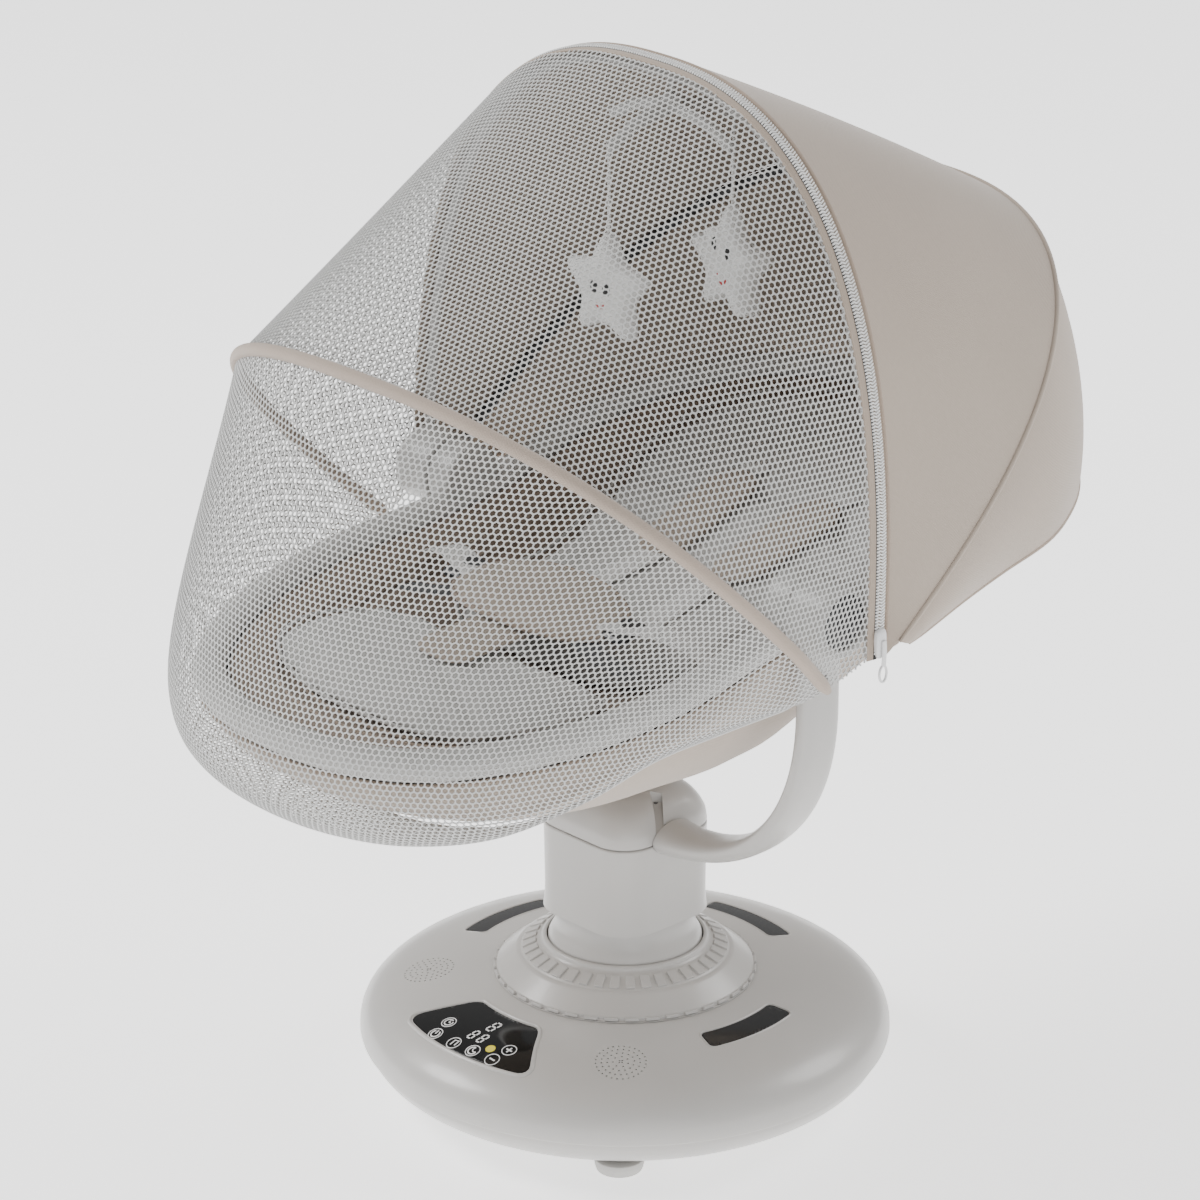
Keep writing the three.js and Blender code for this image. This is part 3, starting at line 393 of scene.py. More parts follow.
def loft(rings, closed=False, caps=True):
    """Points and faces of the skin through a row of closed rings."""
    rings = np.asarray(rings, float)
    count, size = rings.shape[:2]
    i = np.arange(count if closed else count - 1)[:, None]
    j = np.arange(size)[None, :]
    following = (i + 1) % count
    beside = (j + 1) % size
    corners = [i * size + j, i * size + beside, following * size + beside, following * size + j]
    faces = np.stack(corners, axis=-1).reshape(-1, 4).tolist()
    if caps and not closed:
        faces += [list(range(size))[::-1], list(range((count - 1) * size, count * size))]
    return rings.reshape(-1, 3), faces


def joined(*parts):
    """Several (points, faces) as one."""
    points, faces, base = [], [], 0
    for p, f in parts:
        p = np.asarray(p, float).reshape(-1, 3)
        points.append(p)
        faces += [[base + k for k in face] for face in f]
        base += len(p)
    return np.vstack(points), faces


def carried(path, up=None, closed=False):
    """Directions across and up at each point of a path, turning as little as they can."""
    path = np.asarray(path, float)
    if closed:
        along = unit(np.roll(path, -1, axis=0) - np.roll(path, 1, axis=0))
    else:
        along = unit(np.gradient(path, axis=0))
    if up is None:
        first = np.array([0, 0, 1.0]) if abs(along[0][2]) < 0.9 else np.array([0, 1.0, 0])
        ups = [first - along[0] * (first @ along[0])]
        for t in along[1:]:
            ups.append(ups[-1] - t * (ups[-1] @ t))
            ups[-1] /= np.linalg.norm(ups[-1])
        up = np.array(ups)
    across = unit(np.cross(along, np.broadcast_to(up, path.shape)))
    return across, unit(np.cross(across, along))


def sweep(path, section, up=None, closed=False, scale=None):
    """A section, or one per point, carried along a path."""
    path = np.asarray(path, float)
    across, upward = carried(path, up, closed)
    section = np.broadcast_to(section, (len(path), *np.asarray(section).shape[-2:]))
    if scale is not None:
        section = section * np.asarray(scale, float)[:, None, None]
    rings = path[:, None] + section[..., :1] * across[:, None] + section[..., 1:] * upward[:, None]
    return loft(rings, closed)


def capped(count, ease=4, least=0.35):
    """Scales that round off both ends of a sweep."""
    k = np.minimum(np.arange(count), np.arange(count)[::-1])
    return np.where(k >= ease, 1.0, least + (1 - least) * np.sin(np.pi / 2 * np.minimum(k / ease, 1)))


def turned(profile, segments=144):
    """A turned body about Z from (radius, height) points; one end on the axis or closed on itself."""
    profile = np.asarray(profile, float)
    closed = np.allclose(profile[0], profile[-1])
    if closed:
        profile = profile[:-1]
    angles = 2 * np.pi * np.arange(segments) / segments
    rings = np.stack([
        profile[:, :1] * np.cos(angles),
        profile[:, :1] * np.sin(angles),
        np.repeat(profile[:, 1:], segments, axis=1),
    ], axis=-1)
    rings[profile[:, 0] < 1e-6, :, :2] = 0
    return loft(rings, closed, caps=not closed)


def soft_corners(profile, radius=0.0008, steps=3):
    """A profile with its corners rounded."""
    profile = [np.asarray(p, float) for p in profile]
    rounded = [profile[0]]
    for a, b, c in zip(profile[:-2], profile[1:-1], profile[2:]):
        back, ahead = a - b, c - b
        reach = min(radius, 0.45 * np.linalg.norm(back), 0.45 * np.linalg.norm(ahead))
        p, q = b + unit(back) * reach, b + unit(ahead) * reach
        for t in np.linspace(0, 1, steps + 1):
            rounded.append((1 - t) ** 2 * p + 2 * t * (1 - t) * b + t ** 2 * q)
    rounded.append(profile[-1])
    return np.array(rounded)


def merged(obj):
    mesh = bmesh.new()
    mesh.from_mesh(obj.data)
    bmesh.ops.remove_doubles(mesh, verts=mesh.verts, dist=1e-6)
    bmesh.ops.recalc_face_normals(mesh, faces=mesh.faces)
    mesh.to_mesh(obj.data)
    mesh.free()
    return obj


def apply_modifiers(obj):
    bpy.context.view_layer.update()
    evaluated = obj.evaluated_get(bpy.context.evaluated_depsgraph_get())
    mesh = bpy.data.meshes.new_from_object(evaluated)
    obj.modifiers.clear()
    obj.data = mesh
    return obj


def cut(obj, *solids):
    """Takes (points, faces) solids out of an object."""
    tool = make("cutter", *joined(*solids), WHITE)
    modifier = obj.modifiers.new("cut", "BOOLEAN")
    modifier.object = tool
    modifier.operation = "DIFFERENCE"
    modifier.solver = "EXACT"
    apply_modifiers(obj)
    bpy.data.objects.remove(tool)
    obj.data.shade_smooth()
    obj.data.set_sharp_from_angle(angle=math.radians(32))
    return obj


def bevel(obj, width, segments=2, angle=32):
    modifier = obj.modifiers.new("bevel", "BEVEL")
    modifier.width = width
    modifier.segments = segments
    modifier.limit_method = "ANGLE"
    modifier.angle_limit = math.radians(angle)
    return obj


def subdivide(obj):
    modifier = obj.modifiers.new("subdivision", "SUBSURF")
    modifier.levels = 1
    modifier.render_levels = 1
    return obj


def place(obj, body, slot, *replaced):
    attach(obj, body)
    if replaced:
        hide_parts(*replaced)
    return obj


def paint(name, material):
    """Gives a CAD node that stays a better material."""
    data = frame["nodes"][name].data
    data.materials.clear()
    data.materials.append(material)


def mirrored(part):
    points, faces = part
    return np.asarray(points) * (-1, 1, 1), [face[::-1] for face in faces]


SIDES = {"right": 1, "left": -1}

# ---------------------------------------------------------------- base

BASE_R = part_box("base_top_shell")[1].x
BASE_SEAM_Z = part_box("base_top_shell")[0].z
DOME_FOOT_Z, DOME_HEIGHT = 0.044, 0.048
PANEL_R, PANEL_HALF_ANGLE, PANEL_NARROWING = (0.121, 0.172), 22.5, 0.7
WINDOW_R, WINDOW_HALF_ANGLE = (0.123, 0.1414), 17
GRILLE_R, HOLE_R = 0.0195, 0.0008
ICON_R = 0.0055
DIGIT_SLANT = 0.12
GRILLE_AT = (0.105, -0.104)
WINDOWS = {"window_right": 0, "window_rear": 90, "window_left": 180}
FEET = {"foot_front_right": -45, "foot_rear_right": 45, "foot_rear_left": 135, "foot_front_left": -135}
FOOT_REACH = 0.155
CLEARANCE = 0.0003


def dome_z(r):
    return DOME_FOOT_Z + DOME_HEIGHT * np.maximum(0, 1 - (np.asarray(r) / BASE_R) ** 3) ** (1 / 2.6)


def sector_outline(radii, half_angle, corner, facing, grow=0.0, narrowing=1.0):
    inner, outer = radii
    middle = (inner + outer) / 2
    width = 2 * math.radians(half_angle) * middle + 2 * grow
    outline = rounded_rect(width, outer - inner + 2 * grow, corner + grow)
    outline = evenly(np.vstack([outline, outline[:1]]), 97)[:-1]
    share = 0.5 + outline[:, 1] / (outer - inner)
    angle = math.radians(facing) + outline[:, 0] / middle * (narrowing + (1 - narrowing) * share)
    reach = middle + outline[:, 1]
    return np.stack([reach * np.cos(angle), reach * np.sin(angle)], axis=1)


def panel_outline(grow=0.0):
    return sector_outline(PANEL_R, PANEL_HALF_ANGLE, 0.009, -90, grow, PANEL_NARROWING)


def window_outline(facing, grow=0.0):
    return sector_outline(WINDOW_R, WINDOW_HALF_ANGLE, 0.004, facing, grow)


def upright(outline, low, high):
    """A prism on an outline in the XY plane."""
    return loft([np.column_stack([outline, np.full(len(outline), z)]) for z in (low, high)])


def on_dome(outline, rise):
    """Points of an outline lifted onto the dome."""
    return np.column_stack([outline, dome_z(np.linalg.norm(outline, axis=1)) + rise])


def build_top_shell():
    radii = BASE_R * np.sin(np.linspace(math.asin(0.48), math.pi / 2, 34))[:-1]
    outer = [(r, dome_z(r)) for r in radii]
    inner = [(r - 0.0025 * (r / BASE_R) ** 6, dome_z(r) - 0.003)
             for r in radii[::-1] if r < BASE_R * 0.98]
    skirt = [(BASE_R, DOME_FOOT_Z), (0.1993, 0.0412), (0.1975, BASE_SEAM_Z), (0.1935, BASE_SEAM_Z),
             (0.194, 0.046)]
    shell = make("base_top", *turned(outer + skirt + inner + outer[:1], 180), WHITE)
    cuts = [upright(window_outline(facing, CLEARANCE), 0.06, 0.12) for facing in WINDOWS.values()]
    cuts.append(upright(panel_outline(CLEARANCE), 0.06, 0.12))
    cut(shell, *cuts)
    bevel(shell, 0.0005, 2, 50)
    shell_holes(shell)
    place(shell, "base", "white_plastic", "base_top_shell", "speaker_grille_right",
          "speaker_grille_left")
    for name, facing in WINDOWS.items():
        add_bezel(name + "_bezel", window_outline(facing, 0.0012), 0.0007)
        add_lens(name, window_outline(facing), -0.0002, SMOKED, "smoked_lens")
    add_bezel("panel_bezel", panel_outline(0.0022), 0.0017)
    add_lens("touch_panel", panel_outline(), 0.0002, BLACK_GLASS, "black_glass")


def shell_holes(shell):
    """Rings of small sound holes through the shell over each speaker."""
    pins = []
    for side in SIDES.values():
        for ring in range(5):
            reach = GRILLE_R * (ring + 0.35) / 4.6
            count = max(4, 7 * ring)
            for i in range(count):
                angle = 2 * math.pi * (i + 0.5 * (ring % 2)) / count
                x = side * (GRILLE_AT[0] + reach * math.cos(angle))
                y = GRILLE_AT[1] + reach * math.sin(angle)
                pins.append(upright(np.array([x, y]) + round_section(HOLE_R, sides=8), 0.07, 0.1))
    cut(shell, *pins)


def add_bezel(name, outline, radius):
    """A soft raised edge round a recess."""
    ring = make(name, *sweep(on_dome(outline, -0.25 * radius), round_section(radius, sides=10),
                             up=(0, 0, 1), closed=True), WHITE)
    place(ring, "base", "white_plastic")


def add_lens(name, outline, rise, material, slot):
    """A thin window that follows the dome, with a rounded edge."""
    centre = outline.mean(axis=0)
    layers = []
    for share, drop in ((1.0, 0.002), (1.0, 0.0004), (0.985, 0.0)):
        layers.append(on_dome(centre + (outline - centre) * share, rise - drop))
    skin = make(name + "_lens", *loft(layers, caps=False), material, 60)
    inner = np.asarray(layers[-1])[:, :2]
    fill_cap(skin, inner, rise)
    place(skin, "base", slot, name)


def fill_cap(obj, outline, rise):
    """Closes the top of a lens with a fine mesh on the dome."""
    cap = bmesh.new()
    low, high = outline.min(axis=0), outline.max(axis=0)
    corners = [cap.verts.new((x, y, 0)) for x, y in outline]
    cap.faces.new(corners)
    for axis in (0, 1):
        for at in np.arange(low[axis] + 0.003, high[axis], 0.004):
            normal = [0, 0, 0]
            normal[axis] = 1
            spot = [0, 0, 0]
            spot[axis] = at
            bmesh.ops.bisect_plane(cap, geom=cap.verts[:] + cap.edges[:] + cap.faces[:],
                                   plane_co=spot, plane_no=normal)
    for v in cap.verts:
        v.co.z = float(dome_z(math.hypot(v.co.x, v.co.y))) + rise
    mesh = bpy.data.meshes.new("cap")
    cap.to_mesh(mesh)
    cap.free()
    whole = bmesh.new()
    whole.from_mesh(obj.data)
    whole.from_mesh(mesh)
    bmesh.ops.remove_doubles(whole, verts=whole.verts, dist=2e-5)
    bmesh.ops.recalc_face_normals(whole, faces=whole.faces)
    whole.to_mesh(obj.data)
    whole.free()
    obj.data.shade_smooth()
    obj.data.set_sharp_from_angle(angle=math.radians(60))


def build_bottom_shell():
    outer = spline([(0.150, 0.010), (0.168, 0.0135), (0.182, 0.020), (0.191, 0.028), (0.1955, 0.036),
                    (0.196, 0.0391)], 24)
    profile = [(0, 0.010), *outer, (0.193, 0.0391), (0.188, 0.0295), (0.17, 0.0175), (0.150, 0.013),
               (0, 0.013), (0, 0.010)]
    place(merged(make("base_bottom", *turned(profile, 180), WHITE)), "base", "white_plastic",
          "base_bottom_shell")


def build_feet():
    flare = soft_corners([(0, 0), (0.0165, 0), (0.0172, 0.0012), (0.0185, 0.006), (0.0185, 0.0097),
                          (0, 0.0097)])
    points, faces = turned(flare, 48)
    for name, facing in FEET.items():
        angle = math.radians(facing)
        at = (FOOT_REACH * math.cos(angle), FOOT_REACH * math.sin(angle), 0)
        foot = merged(make(name + "_pad", points + at, faces, GREY_RUBBER))
        place(foot, "base", "rubber", name)


def block_ring(count, width, profile, proud):
    """Blocks round the axis, each along an (r, z) line and standing proud of it."""
    (r0, z0), (r1, z1) = profile
    lift = unit(np.array([z0 - z1, r1 - r0])) * proud
    blocks = []
    for i in range(count):
        angle = 2 * math.pi * (i + 0.5) / count
        radial = np.array([math.cos(angle), math.sin(angle), 0])
        side = np.array([-math.sin(angle), math.cos(angle), 0]) * width / 2
        ends = []
        for r, z in ((r0, z0), (r1, z1)):
            ring = []
            for sign, up in ((-1, -0.4), (1, -0.4), (0.9, 1), (-0.9, 1)):
                ring.append(radial * (r + lift[0] * up) + side * sign
                            + np.array([0, 0, z + lift[1] * up]))
            ends.append(ring)
        blocks.append(loft(ends))
    return joined(*blocks)


def build_collar():
    """The stepped cover, with a groove on each side of its ribbed band."""
    profile = soft_corners([
        (0.0588, 0.112), (0.0588, 0.1176), (0.0605, 0.1178), (0.0622, 0.1168), (0.0626, 0.1145),
        (0.0645, 0.1130), (0.0655, 0.1126), (0.0770, 0.1072), (0.0785, 0.1060), (0.0800, 0.1057),
        (0.0820, 0.1049), (0.0962, 0.0938), (0.0968, 0.0930), (0.0968, 0.0906), (0.0990, 0.0905),
        (0.0990, 0.0898), (0.088, 0.0898), (0.082, 0.098), (0.0588, 0.112),
    ], 0.0009)
    profile = np.vstack([profile[:-1], profile[:1]])
    place(make("collar", *turned(profile, 160), WHITE, 50), "base", "white_plastic", "collar_cover")
    ribs = joined(
        block_ring(40, 0.0074, ((0.0665, 0.1118), (0.0768, 0.1070)), 0.0018),
        block_ring(40, 0.0112, ((0.0966, 0.0932), (0.0971, 0.0908)), 0.0019),
    )
    place(bevel(make("collar_ribs", *ribs, WHITE), 0.00035), "base", "white_plastic")


def panel_spot(angle, reach):
    """A place on the touch panel: degrees to the right of its middle, and distance from the axis."""
    turn = math.radians(angle - 90)
    return np.array([reach * math.cos(turn), reach * math.sin(turn)])


def print_stroke(points, width, closed=False):
    """A printed line on the panel, as a thin ribbon."""
    points = np.asarray(points, float)
    if closed:
        along = unit(np.roll(points, -1, axis=0) - np.roll(points, 1, axis=0))
    else:
        along = unit(np.gradient(points, axis=0))
    side = np.column_stack([-along[:, 1], along[:, 0]]) * width / 2
    top, base = 0.00045, 0.0001
    layers = [on_dome(points + side, base), on_dome(points + side, top), on_dome(points - side, top),
              on_dome(points - side, base)]
    rings = np.stack(layers, axis=1)
    return loft(rings, closed)


def arc(centre, radius, start, stop, count=28):
    angles = np.radians(np.linspace(start, stop, count))
    return np.asarray(centre) + radius * np.column_stack([np.cos(angles), np.sin(angles)])


def digit(centre, size):
    """A generic seven-segment eight."""
    w, h = size * 0.5, size
    segments = []
    for x0, y0, x1, y1 in ((-1, 1, 1, 1), (-1, 0, 1, 0), (-1, -1, 1, -1), (-1, 0, -1, 1), (1, 0, 1, 1),
                           (-1, -1, -1, 0), (1, -1, 1, 0)):
        a = np.array([x0 * w / 2 * 0.82, y0 * h / 2 * 0.9])
        b = np.array([x1 * w / 2 * 0.82, y1 * h / 2 * 0.9])
        a, b = a + (b - a) * 0.14, b + (a - b) * 0.14
        line = np.linspace(a, b, 3)
        line[:, 0] += DIGIT_SLANT * line[:, 1]
        segments.append(print_stroke(line + centre, 0.0011))
    return joined(*segments)


def build_panel_print():
    """Generic icons, figures and a lamp on the touch panel."""
    icons = [panel_spot(*at) for at in ((-11.2, 0.154), (-9.9, 0.168), (-2.6, 0.1665), (4.1, 0.1655),
                                        (10.9, 0.1668), (13.0, 0.1535))]
    clock, power, music, moon, minus, plus = icons
    parts = [print_stroke(arc(at, ICON_R, 0, 348, 30), 0.0006, True) for at in icons]
    strokes = [
        (arc(clock, 0.0034, 60, 390, 18), 0.0009),
        ([clock + (0, 0.0022), clock, clock + (0.0018, 0)], 0.0008),
        (arc(power, 0.0034, 125, 415, 18), 0.0010),
        ([power, power + (0, 0.0036)], 0.0010),
        ([music + (-0.0012, -0.0025), music + (-0.0012, 0.0026), music + (0.0024, 0.0032),
          music + (0.0024, -0.0018)], 0.0010),
        (arc(moon, 0.0036, 100, 350, 18), 0.0010),
        (arc(moon + (0.0016, 0.0016), 0.0024, 130, 320, 14), 0.0008),
        ([minus - (0.0026, 0), minus + (0.0026, 0)], 0.0011),
        ([plus - (0.0028, 0), plus + (0.0028, 0)], 0.0011),
        ([plus - (0, 0.0028), plus + (0, 0.0028)], 0.0011),
    ]
    parts += [print_stroke(points, width) for points, width in strokes]
    for angle, reach, size in ((1.6, 0.1368, 0.0125), (-0.6, 0.1520, 0.0105), (3.0, 0.1518, 0.0105)):
        parts.append(digit(panel_spot(angle, reach), size))
    place(make("panel_print", *joined(*parts), PRINT_WHITE), "base", "black_glass")
    lamp = print_stroke(arc(panel_spot(7.9, 0.1580), 0.0019, 0, 345, 24), 0.0037, True)
    place(make("panel_lamp", *lamp, PRINT_YELLOW), "base", "black_glass")


# ---------------------------------------------------------------- column and arms

HUB_Z = next(joint["pos_m"][2] for joint in frame["joints"] if joint["name"] == "seat_recline")
ARM_X = 0.1975
SCREW_Z = 0.3875


def square_rings(stations, count):
    """Rounded square rings through (height, half width, corner radius) stations."""
    line = spline(stations, count)
    rings = []
    for z, half, corner in line:
        outline = rounded_rect(2 * half, 2 * half, min(corner, half * 0.995), 10)
        rings.append(np.column_stack([outline, np.full(len(outline), z)]))
    return rings


def build_column():
    cone = spline([(0.0578, 0.106), (0.0578, 0.1172), (0.0558, 0.1215), (0.0525, 0.127), (0.0505, 0.134),
                   (0.0500, 0.1397)], 30)
    neck = [(0, 0.106), *cone, (0, 0.1397)]
    place(merged(make("neck_ring", *turned(neck, 120), WHITE)), "yoke", "white_plastic", "neck")
    housing = square_rings([(0.1400, 0.0505, 0.0305), (0.1412, 0.0524, 0.031), (0.1445, 0.0518, 0.030),
                            (0.152, 0.0508, 0.028), (0.180, 0.0506, 0.027), (0.2085, 0.0510, 0.027)], 30)
    housing += square_rings([(0.2098, 0.0510, 0.027), (0.2106, 0.0502, 0.0265)], 3)
    place(make("column", *loft(housing), WHITE, 60), "yoke", "white_plastic", "column_housing")
    cap = square_rings([(0.2114, 0.0503, 0.0265), (0.2124, 0.0510, 0.027)], 3)
    cap += square_rings([(0.214, 0.0510, 0.0272), (0.222, 0.0500, 0.028), (0.233, 0.0445, 0.0282),
                         (0.2405, 0.0360, 0.027), (0.2452, 0.0250, 0.022), (0.2478, 0.0110, 0.0109)], 36)
    dome = make("column_top", *loft(cap), WHITE, 60)
    notch = [(0.0300, -0.0040), (0.0350, 0.0040), (0.0530, -0.0110), (0.0510, -0.0170)]
    floor = np.array([0.2345, 0.2345, 0.2190, 0.2190])
    low = np.column_stack([notch, floor])
    cut(dome, loft([low, low + (0, 0, 0.04)]))
    bevel(dome, 0.0006, 2, 40)
    place(dome, "yoke", "white_plastic", "column_cap")
    # Painted shade: a dark disc on the notch floor stands in for the shade inside the cap's hole.
    hole = upright(np.array([0.0325, 0.0]) + round_section(0.0017), 0.2337, 0.2345)
    place(make("cap_hole_painted_shade", *hole, DARK_PLASTIC_AND_HOLE_SHADE), "yoke", "dark_plastic")


def arm_part():
    """Right arm: a lens-shaped root that turns up into a flat post under the hub."""
    p0, p1, p2, p3 = np.array([(0.0516, 0, 0.213), (0.140, 0, 0.213), (ARM_X, 0, 0.270),
                               (ARM_X, 0, 0.360)])
    t = np.linspace(0, 1, 200)[:, None]
    curve = (1 - t) ** 3 * p0 + 3 * t * (1 - t) ** 2 * p1 + 3 * t ** 2 * (1 - t) * p2 + t ** 3 * p3
    path = evenly(np.vstack([curve, [(ARM_X, 0, HUB_Z - 0.020)]]), 70)
    share = np.linspace(0, 1, 70)
    thick = 0.0080 + 0.005 * np.exp(-share * 9)
    wide = 0.0180 + 0.003 * np.exp(-share * 9)
    power = 1.85 + 1.3 * np.clip(share * 1.8, 0, 1)
    angles = 2 * np.pi * np.arange(40) / 40
    section = np.stack([superellipse(angles, a, b, p) for a, b, p in zip(thick, wide, power)])
    return sweep(path, section, up=(0, 1, 0))


def along_x(profile, segments=72):
    """A turned piece about the hub axis, from (radius, place along +X) points."""
    points, faces = turned(profile, segments)
    return np.column_stack([points[:, 2], points[:, 1], points[:, 0]]) + (0, 0, HUB_Z), faces


def build_arms():
    housing = soft_corners([(0, 0.190), (0.0265, 0.190), (0.028, 0.1915), (0.028, 0.222), (0.0262, 0.224),
                            (0.0203, 0.224), (0.0203, 0.2005), (0, 0.2005)], 0.0012)
    cap = soft_corners([(0, 0.207), (0.0196, 0.207), (0.0196, 0.2216), (0.0182, 0.2232), (0.0150, 0.2232),
                        (0.0143, 0.2222), (0.0136, 0.2222), (0.0128, 0.2230), (0, 0.2230)], 0.0006)
    boss = soft_corners([(0, 0.1655), (0.0245, 0.1655), (0.026, 0.167), (0.026, 0.1892),
                         (0, 0.1892)], 0.002)
    screw = soft_corners([(0, 0.2040), (0.0021, 0.2040), (0.0021, 0.2058), (0, 0.2058)], 0.0003)
    for side, sign in SIDES.items():
        def turn(part):
            return part if sign > 0 else mirrored(part)

        arm = make(f"arm_{side}_shell", *turn(arm_part()), WHITE, 60)
        place(arm, "yoke", "white_plastic", f"arm_{side}")
        hub = merged(make(f"hub_{side}", *turn(along_x(housing)), WHITE))
        place(hub, "yoke", "white_plastic", f"hub_housing_{side}")
        button = merged(make(f"hub_button_{side}", *turn(along_x(cap)), DARK_PLASTIC_AND_HOLE_SHADE))
        place(button, f"button_{side}", "dark_plastic", f"recline_button_{side}")
        boss_cover = merged(make(f"rim_boss_{side}", *turn(along_x(boss)), WHITE))
        place(boss_cover, "seat", "white_plastic")
        points, faces = turn(along_x(screw, 20))
        dot = merged(make(f"arm_screw_{side}", points + (0, 0, SCREW_Z - HUB_Z), faces, DARK_PLASTIC_AND_HOLE_SHADE))
        place(dot, "yoke", "dark_plastic")


# ---------------------------------------------------------------- seat

RIM_Z = 0.4188
RIM_TILT = math.radians(7.2)
BOWL_CENTRE_V = 0.030
BOWL_DEPTH = 0.152
LINER_INSET = 0.0136
PAD_LIFT = 0.0045
RIM_HALF_OUTLINE = [
    (0, -0.334), (0.062, -0.327), (0.115, -0.302), (0.152, -0.258), (0.175, -0.205), (0.185, -0.140),
    (0.183, -0.090), (0.177, -0.040), (0.176, 0), (0.177, 0.038), (0.187, 0.084), (0.197, 0.138),
    (0.190, 0.222), (0.154, 0.293), (0.088, 0.329), (0, 0.339),
]
BRACKET_ROUTE = [(0.180, 0.053, 0.421), (0.205, 0.0435, 0.420), (0.2284, 0.034, 0.414)]
INSERT_OUTLINE = [
    (0, -0.106), (0.070, -0.103), (0.110, -0.080), (0.123, -0.035), (0.124, 0.030), (0.145, 0.110),
    (0.158, 0.180), (0.149, 0.240), (0.114, 0.285), (0.058, 0.307), (0, 0.313),
]
FOOT_OUTLINE = [
    (0, -0.274), (0.070, -0.267), (0.120, -0.244), (0.141, -0.205), (0.138, -0.160), (0.116, -0.124),
    (0.060, -0.116), (0, -0.115),
]
SWELL_FRAMES = 16
INSERT_THICKNESS = 0.023
FOOT_THICKNESS = 0.026


def on_rim(u, v, h):
    """A point above the plane of the seat's rim: u to the right, v towards the head, h up."""
    u, v, h = np.broadcast_arrays(np.asarray(u, float), v, h)
    c, s = math.cos(RIM_TILT), math.sin(RIM_TILT)
    return np.stack([u, v * c - h * s, RIM_Z + v * s + h * c], axis=-1)


def loop_through(half, count):
    """Right half of an outline from foot to head, mirrored into a smooth loop."""
    left = [(-u, v) for u, v in half[1:-1][::-1]]
    return spline([*half, *left], count, closed=True)


def offset(outline, distance):
    along = np.roll(outline, -1, axis=0) - np.roll(outline, 1, axis=0)
    length = np.linalg.norm(along, axis=1, keepdims=True)
    return outline + distance * np.column_stack([along[:, 1], -along[:, 0]]) / length


def towards_centre(outline, share, centre=BOWL_CENTRE_V):
    return np.array([0, centre]) + (outline - (0, centre)) * share


RIM_OUTLINE = loop_through(RIM_HALF_OUTLINE, 160)
LINER_EDGE = offset(RIM_OUTLINE, -LINER_INSET)
EDGE_ANGLES = np.arctan2(LINER_EDGE[:, 1] - BOWL_CENTRE_V, LINER_EDGE[:, 0])
EDGE_REACH = np.hypot(LINER_EDGE[:, 0], LINER_EDGE[:, 1] - BOWL_CENTRE_V)
EDGE_ORDER = np.argsort(EDGE_ANGLES)


def liner_h(u, v):
    """Height of the sling over the rim's plane."""
    reach = np.interp(np.arctan2(v - BOWL_CENTRE_V, u), EDGE_ANGLES[EDGE_ORDER], EDGE_REACH[EDGE_ORDER],
                      period=2 * np.pi)
    share = np.hypot(u, v - BOWL_CENTRE_V) / reach
    sling = 0.040 + 0.024 * np.exp(-(((v - 0.030) / 0.130) ** 2))
    return 0.002 - (sling + 0.002) * np.maximum(0, 1 - share ** 4)


UP_FROM_RIM = on_rim(0, 0, 1.0) - on_rim(0, 0, 0.0)


def smoothstep(x, low, high):
    t = np.clip((x - low) / (high - low), 0, 1)
    return t * t * (3 - 2 * t)


def build_rim():
    section = round_section(0.012, 0.011, 2.4, 24)
    path = on_rim(RIM_OUTLINE[:, 0], RIM_OUTLINE[:, 1], 0)
    tube = sweep(path, section, up=UP_FROM_RIM, closed=True)
    bracket = []
    for sign in SIDES.values():
        line = spline(BRACKET_ROUTE, 10) * (sign, 1, 1)
        bracket.append(sweep(line, round_section(0.006, 0.0045, 3.5, 16), up=(0, 0, 1)))
    rim = make("rim_tube", *joined(tube, *bracket), WHITE_SATIN, 60)
    place(rim, "seat", "white_plastic", "seat_rim")


def build_shell():
    """The padded fabric tub under the rim, with a piped top edge."""
    shares = np.sin(np.linspace(0.05, math.pi / 2, 30))
    top = -0.0118

    def rings(outline, lift):
        made = []
        for share in shares:
            ring = towards_centre(outline, share)
            foot, head = smoothstep(-outline[:, 1], 0, 0.2), smoothstep(outline[:, 1], 0, 0.2)
            p, q = 1.96 - 0.65 * foot, 1.56 + 0.1 * foot
            lift_to_head = 1 - 0.7 * head * share ** 0.6
            depth = BOWL_DEPTH * lift_to_head * np.maximum(0, 1 - share ** p) ** (1 / q)
            made.append(on_rim(ring[:, 0], ring[:, 1], top - np.maximum(0, depth - lift)))
        return made

    outer = rings(offset(RIM_OUTLINE, 0.008), 0)
    inner = rings(offset(RIM_OUTLINE, 0.005), 0.003)
    shell = make("seat_tub", *loft(outer + inner[::-1]), BEIGE, 70)
    place(shell, "seat", "beige_fabric", "seat_shell")
    edge = offset(RIM_OUTLINE, 0.0085)
    line = on_rim(edge[:, 0], edge[:, 1], top + 0.0002)
    piping = sweep(line, round_section(0.0019, sides=8), closed=True, up=(0, 0, 1))
    place(make("tub_piping", *piping, PIPING), "seat", "trim_fabric")


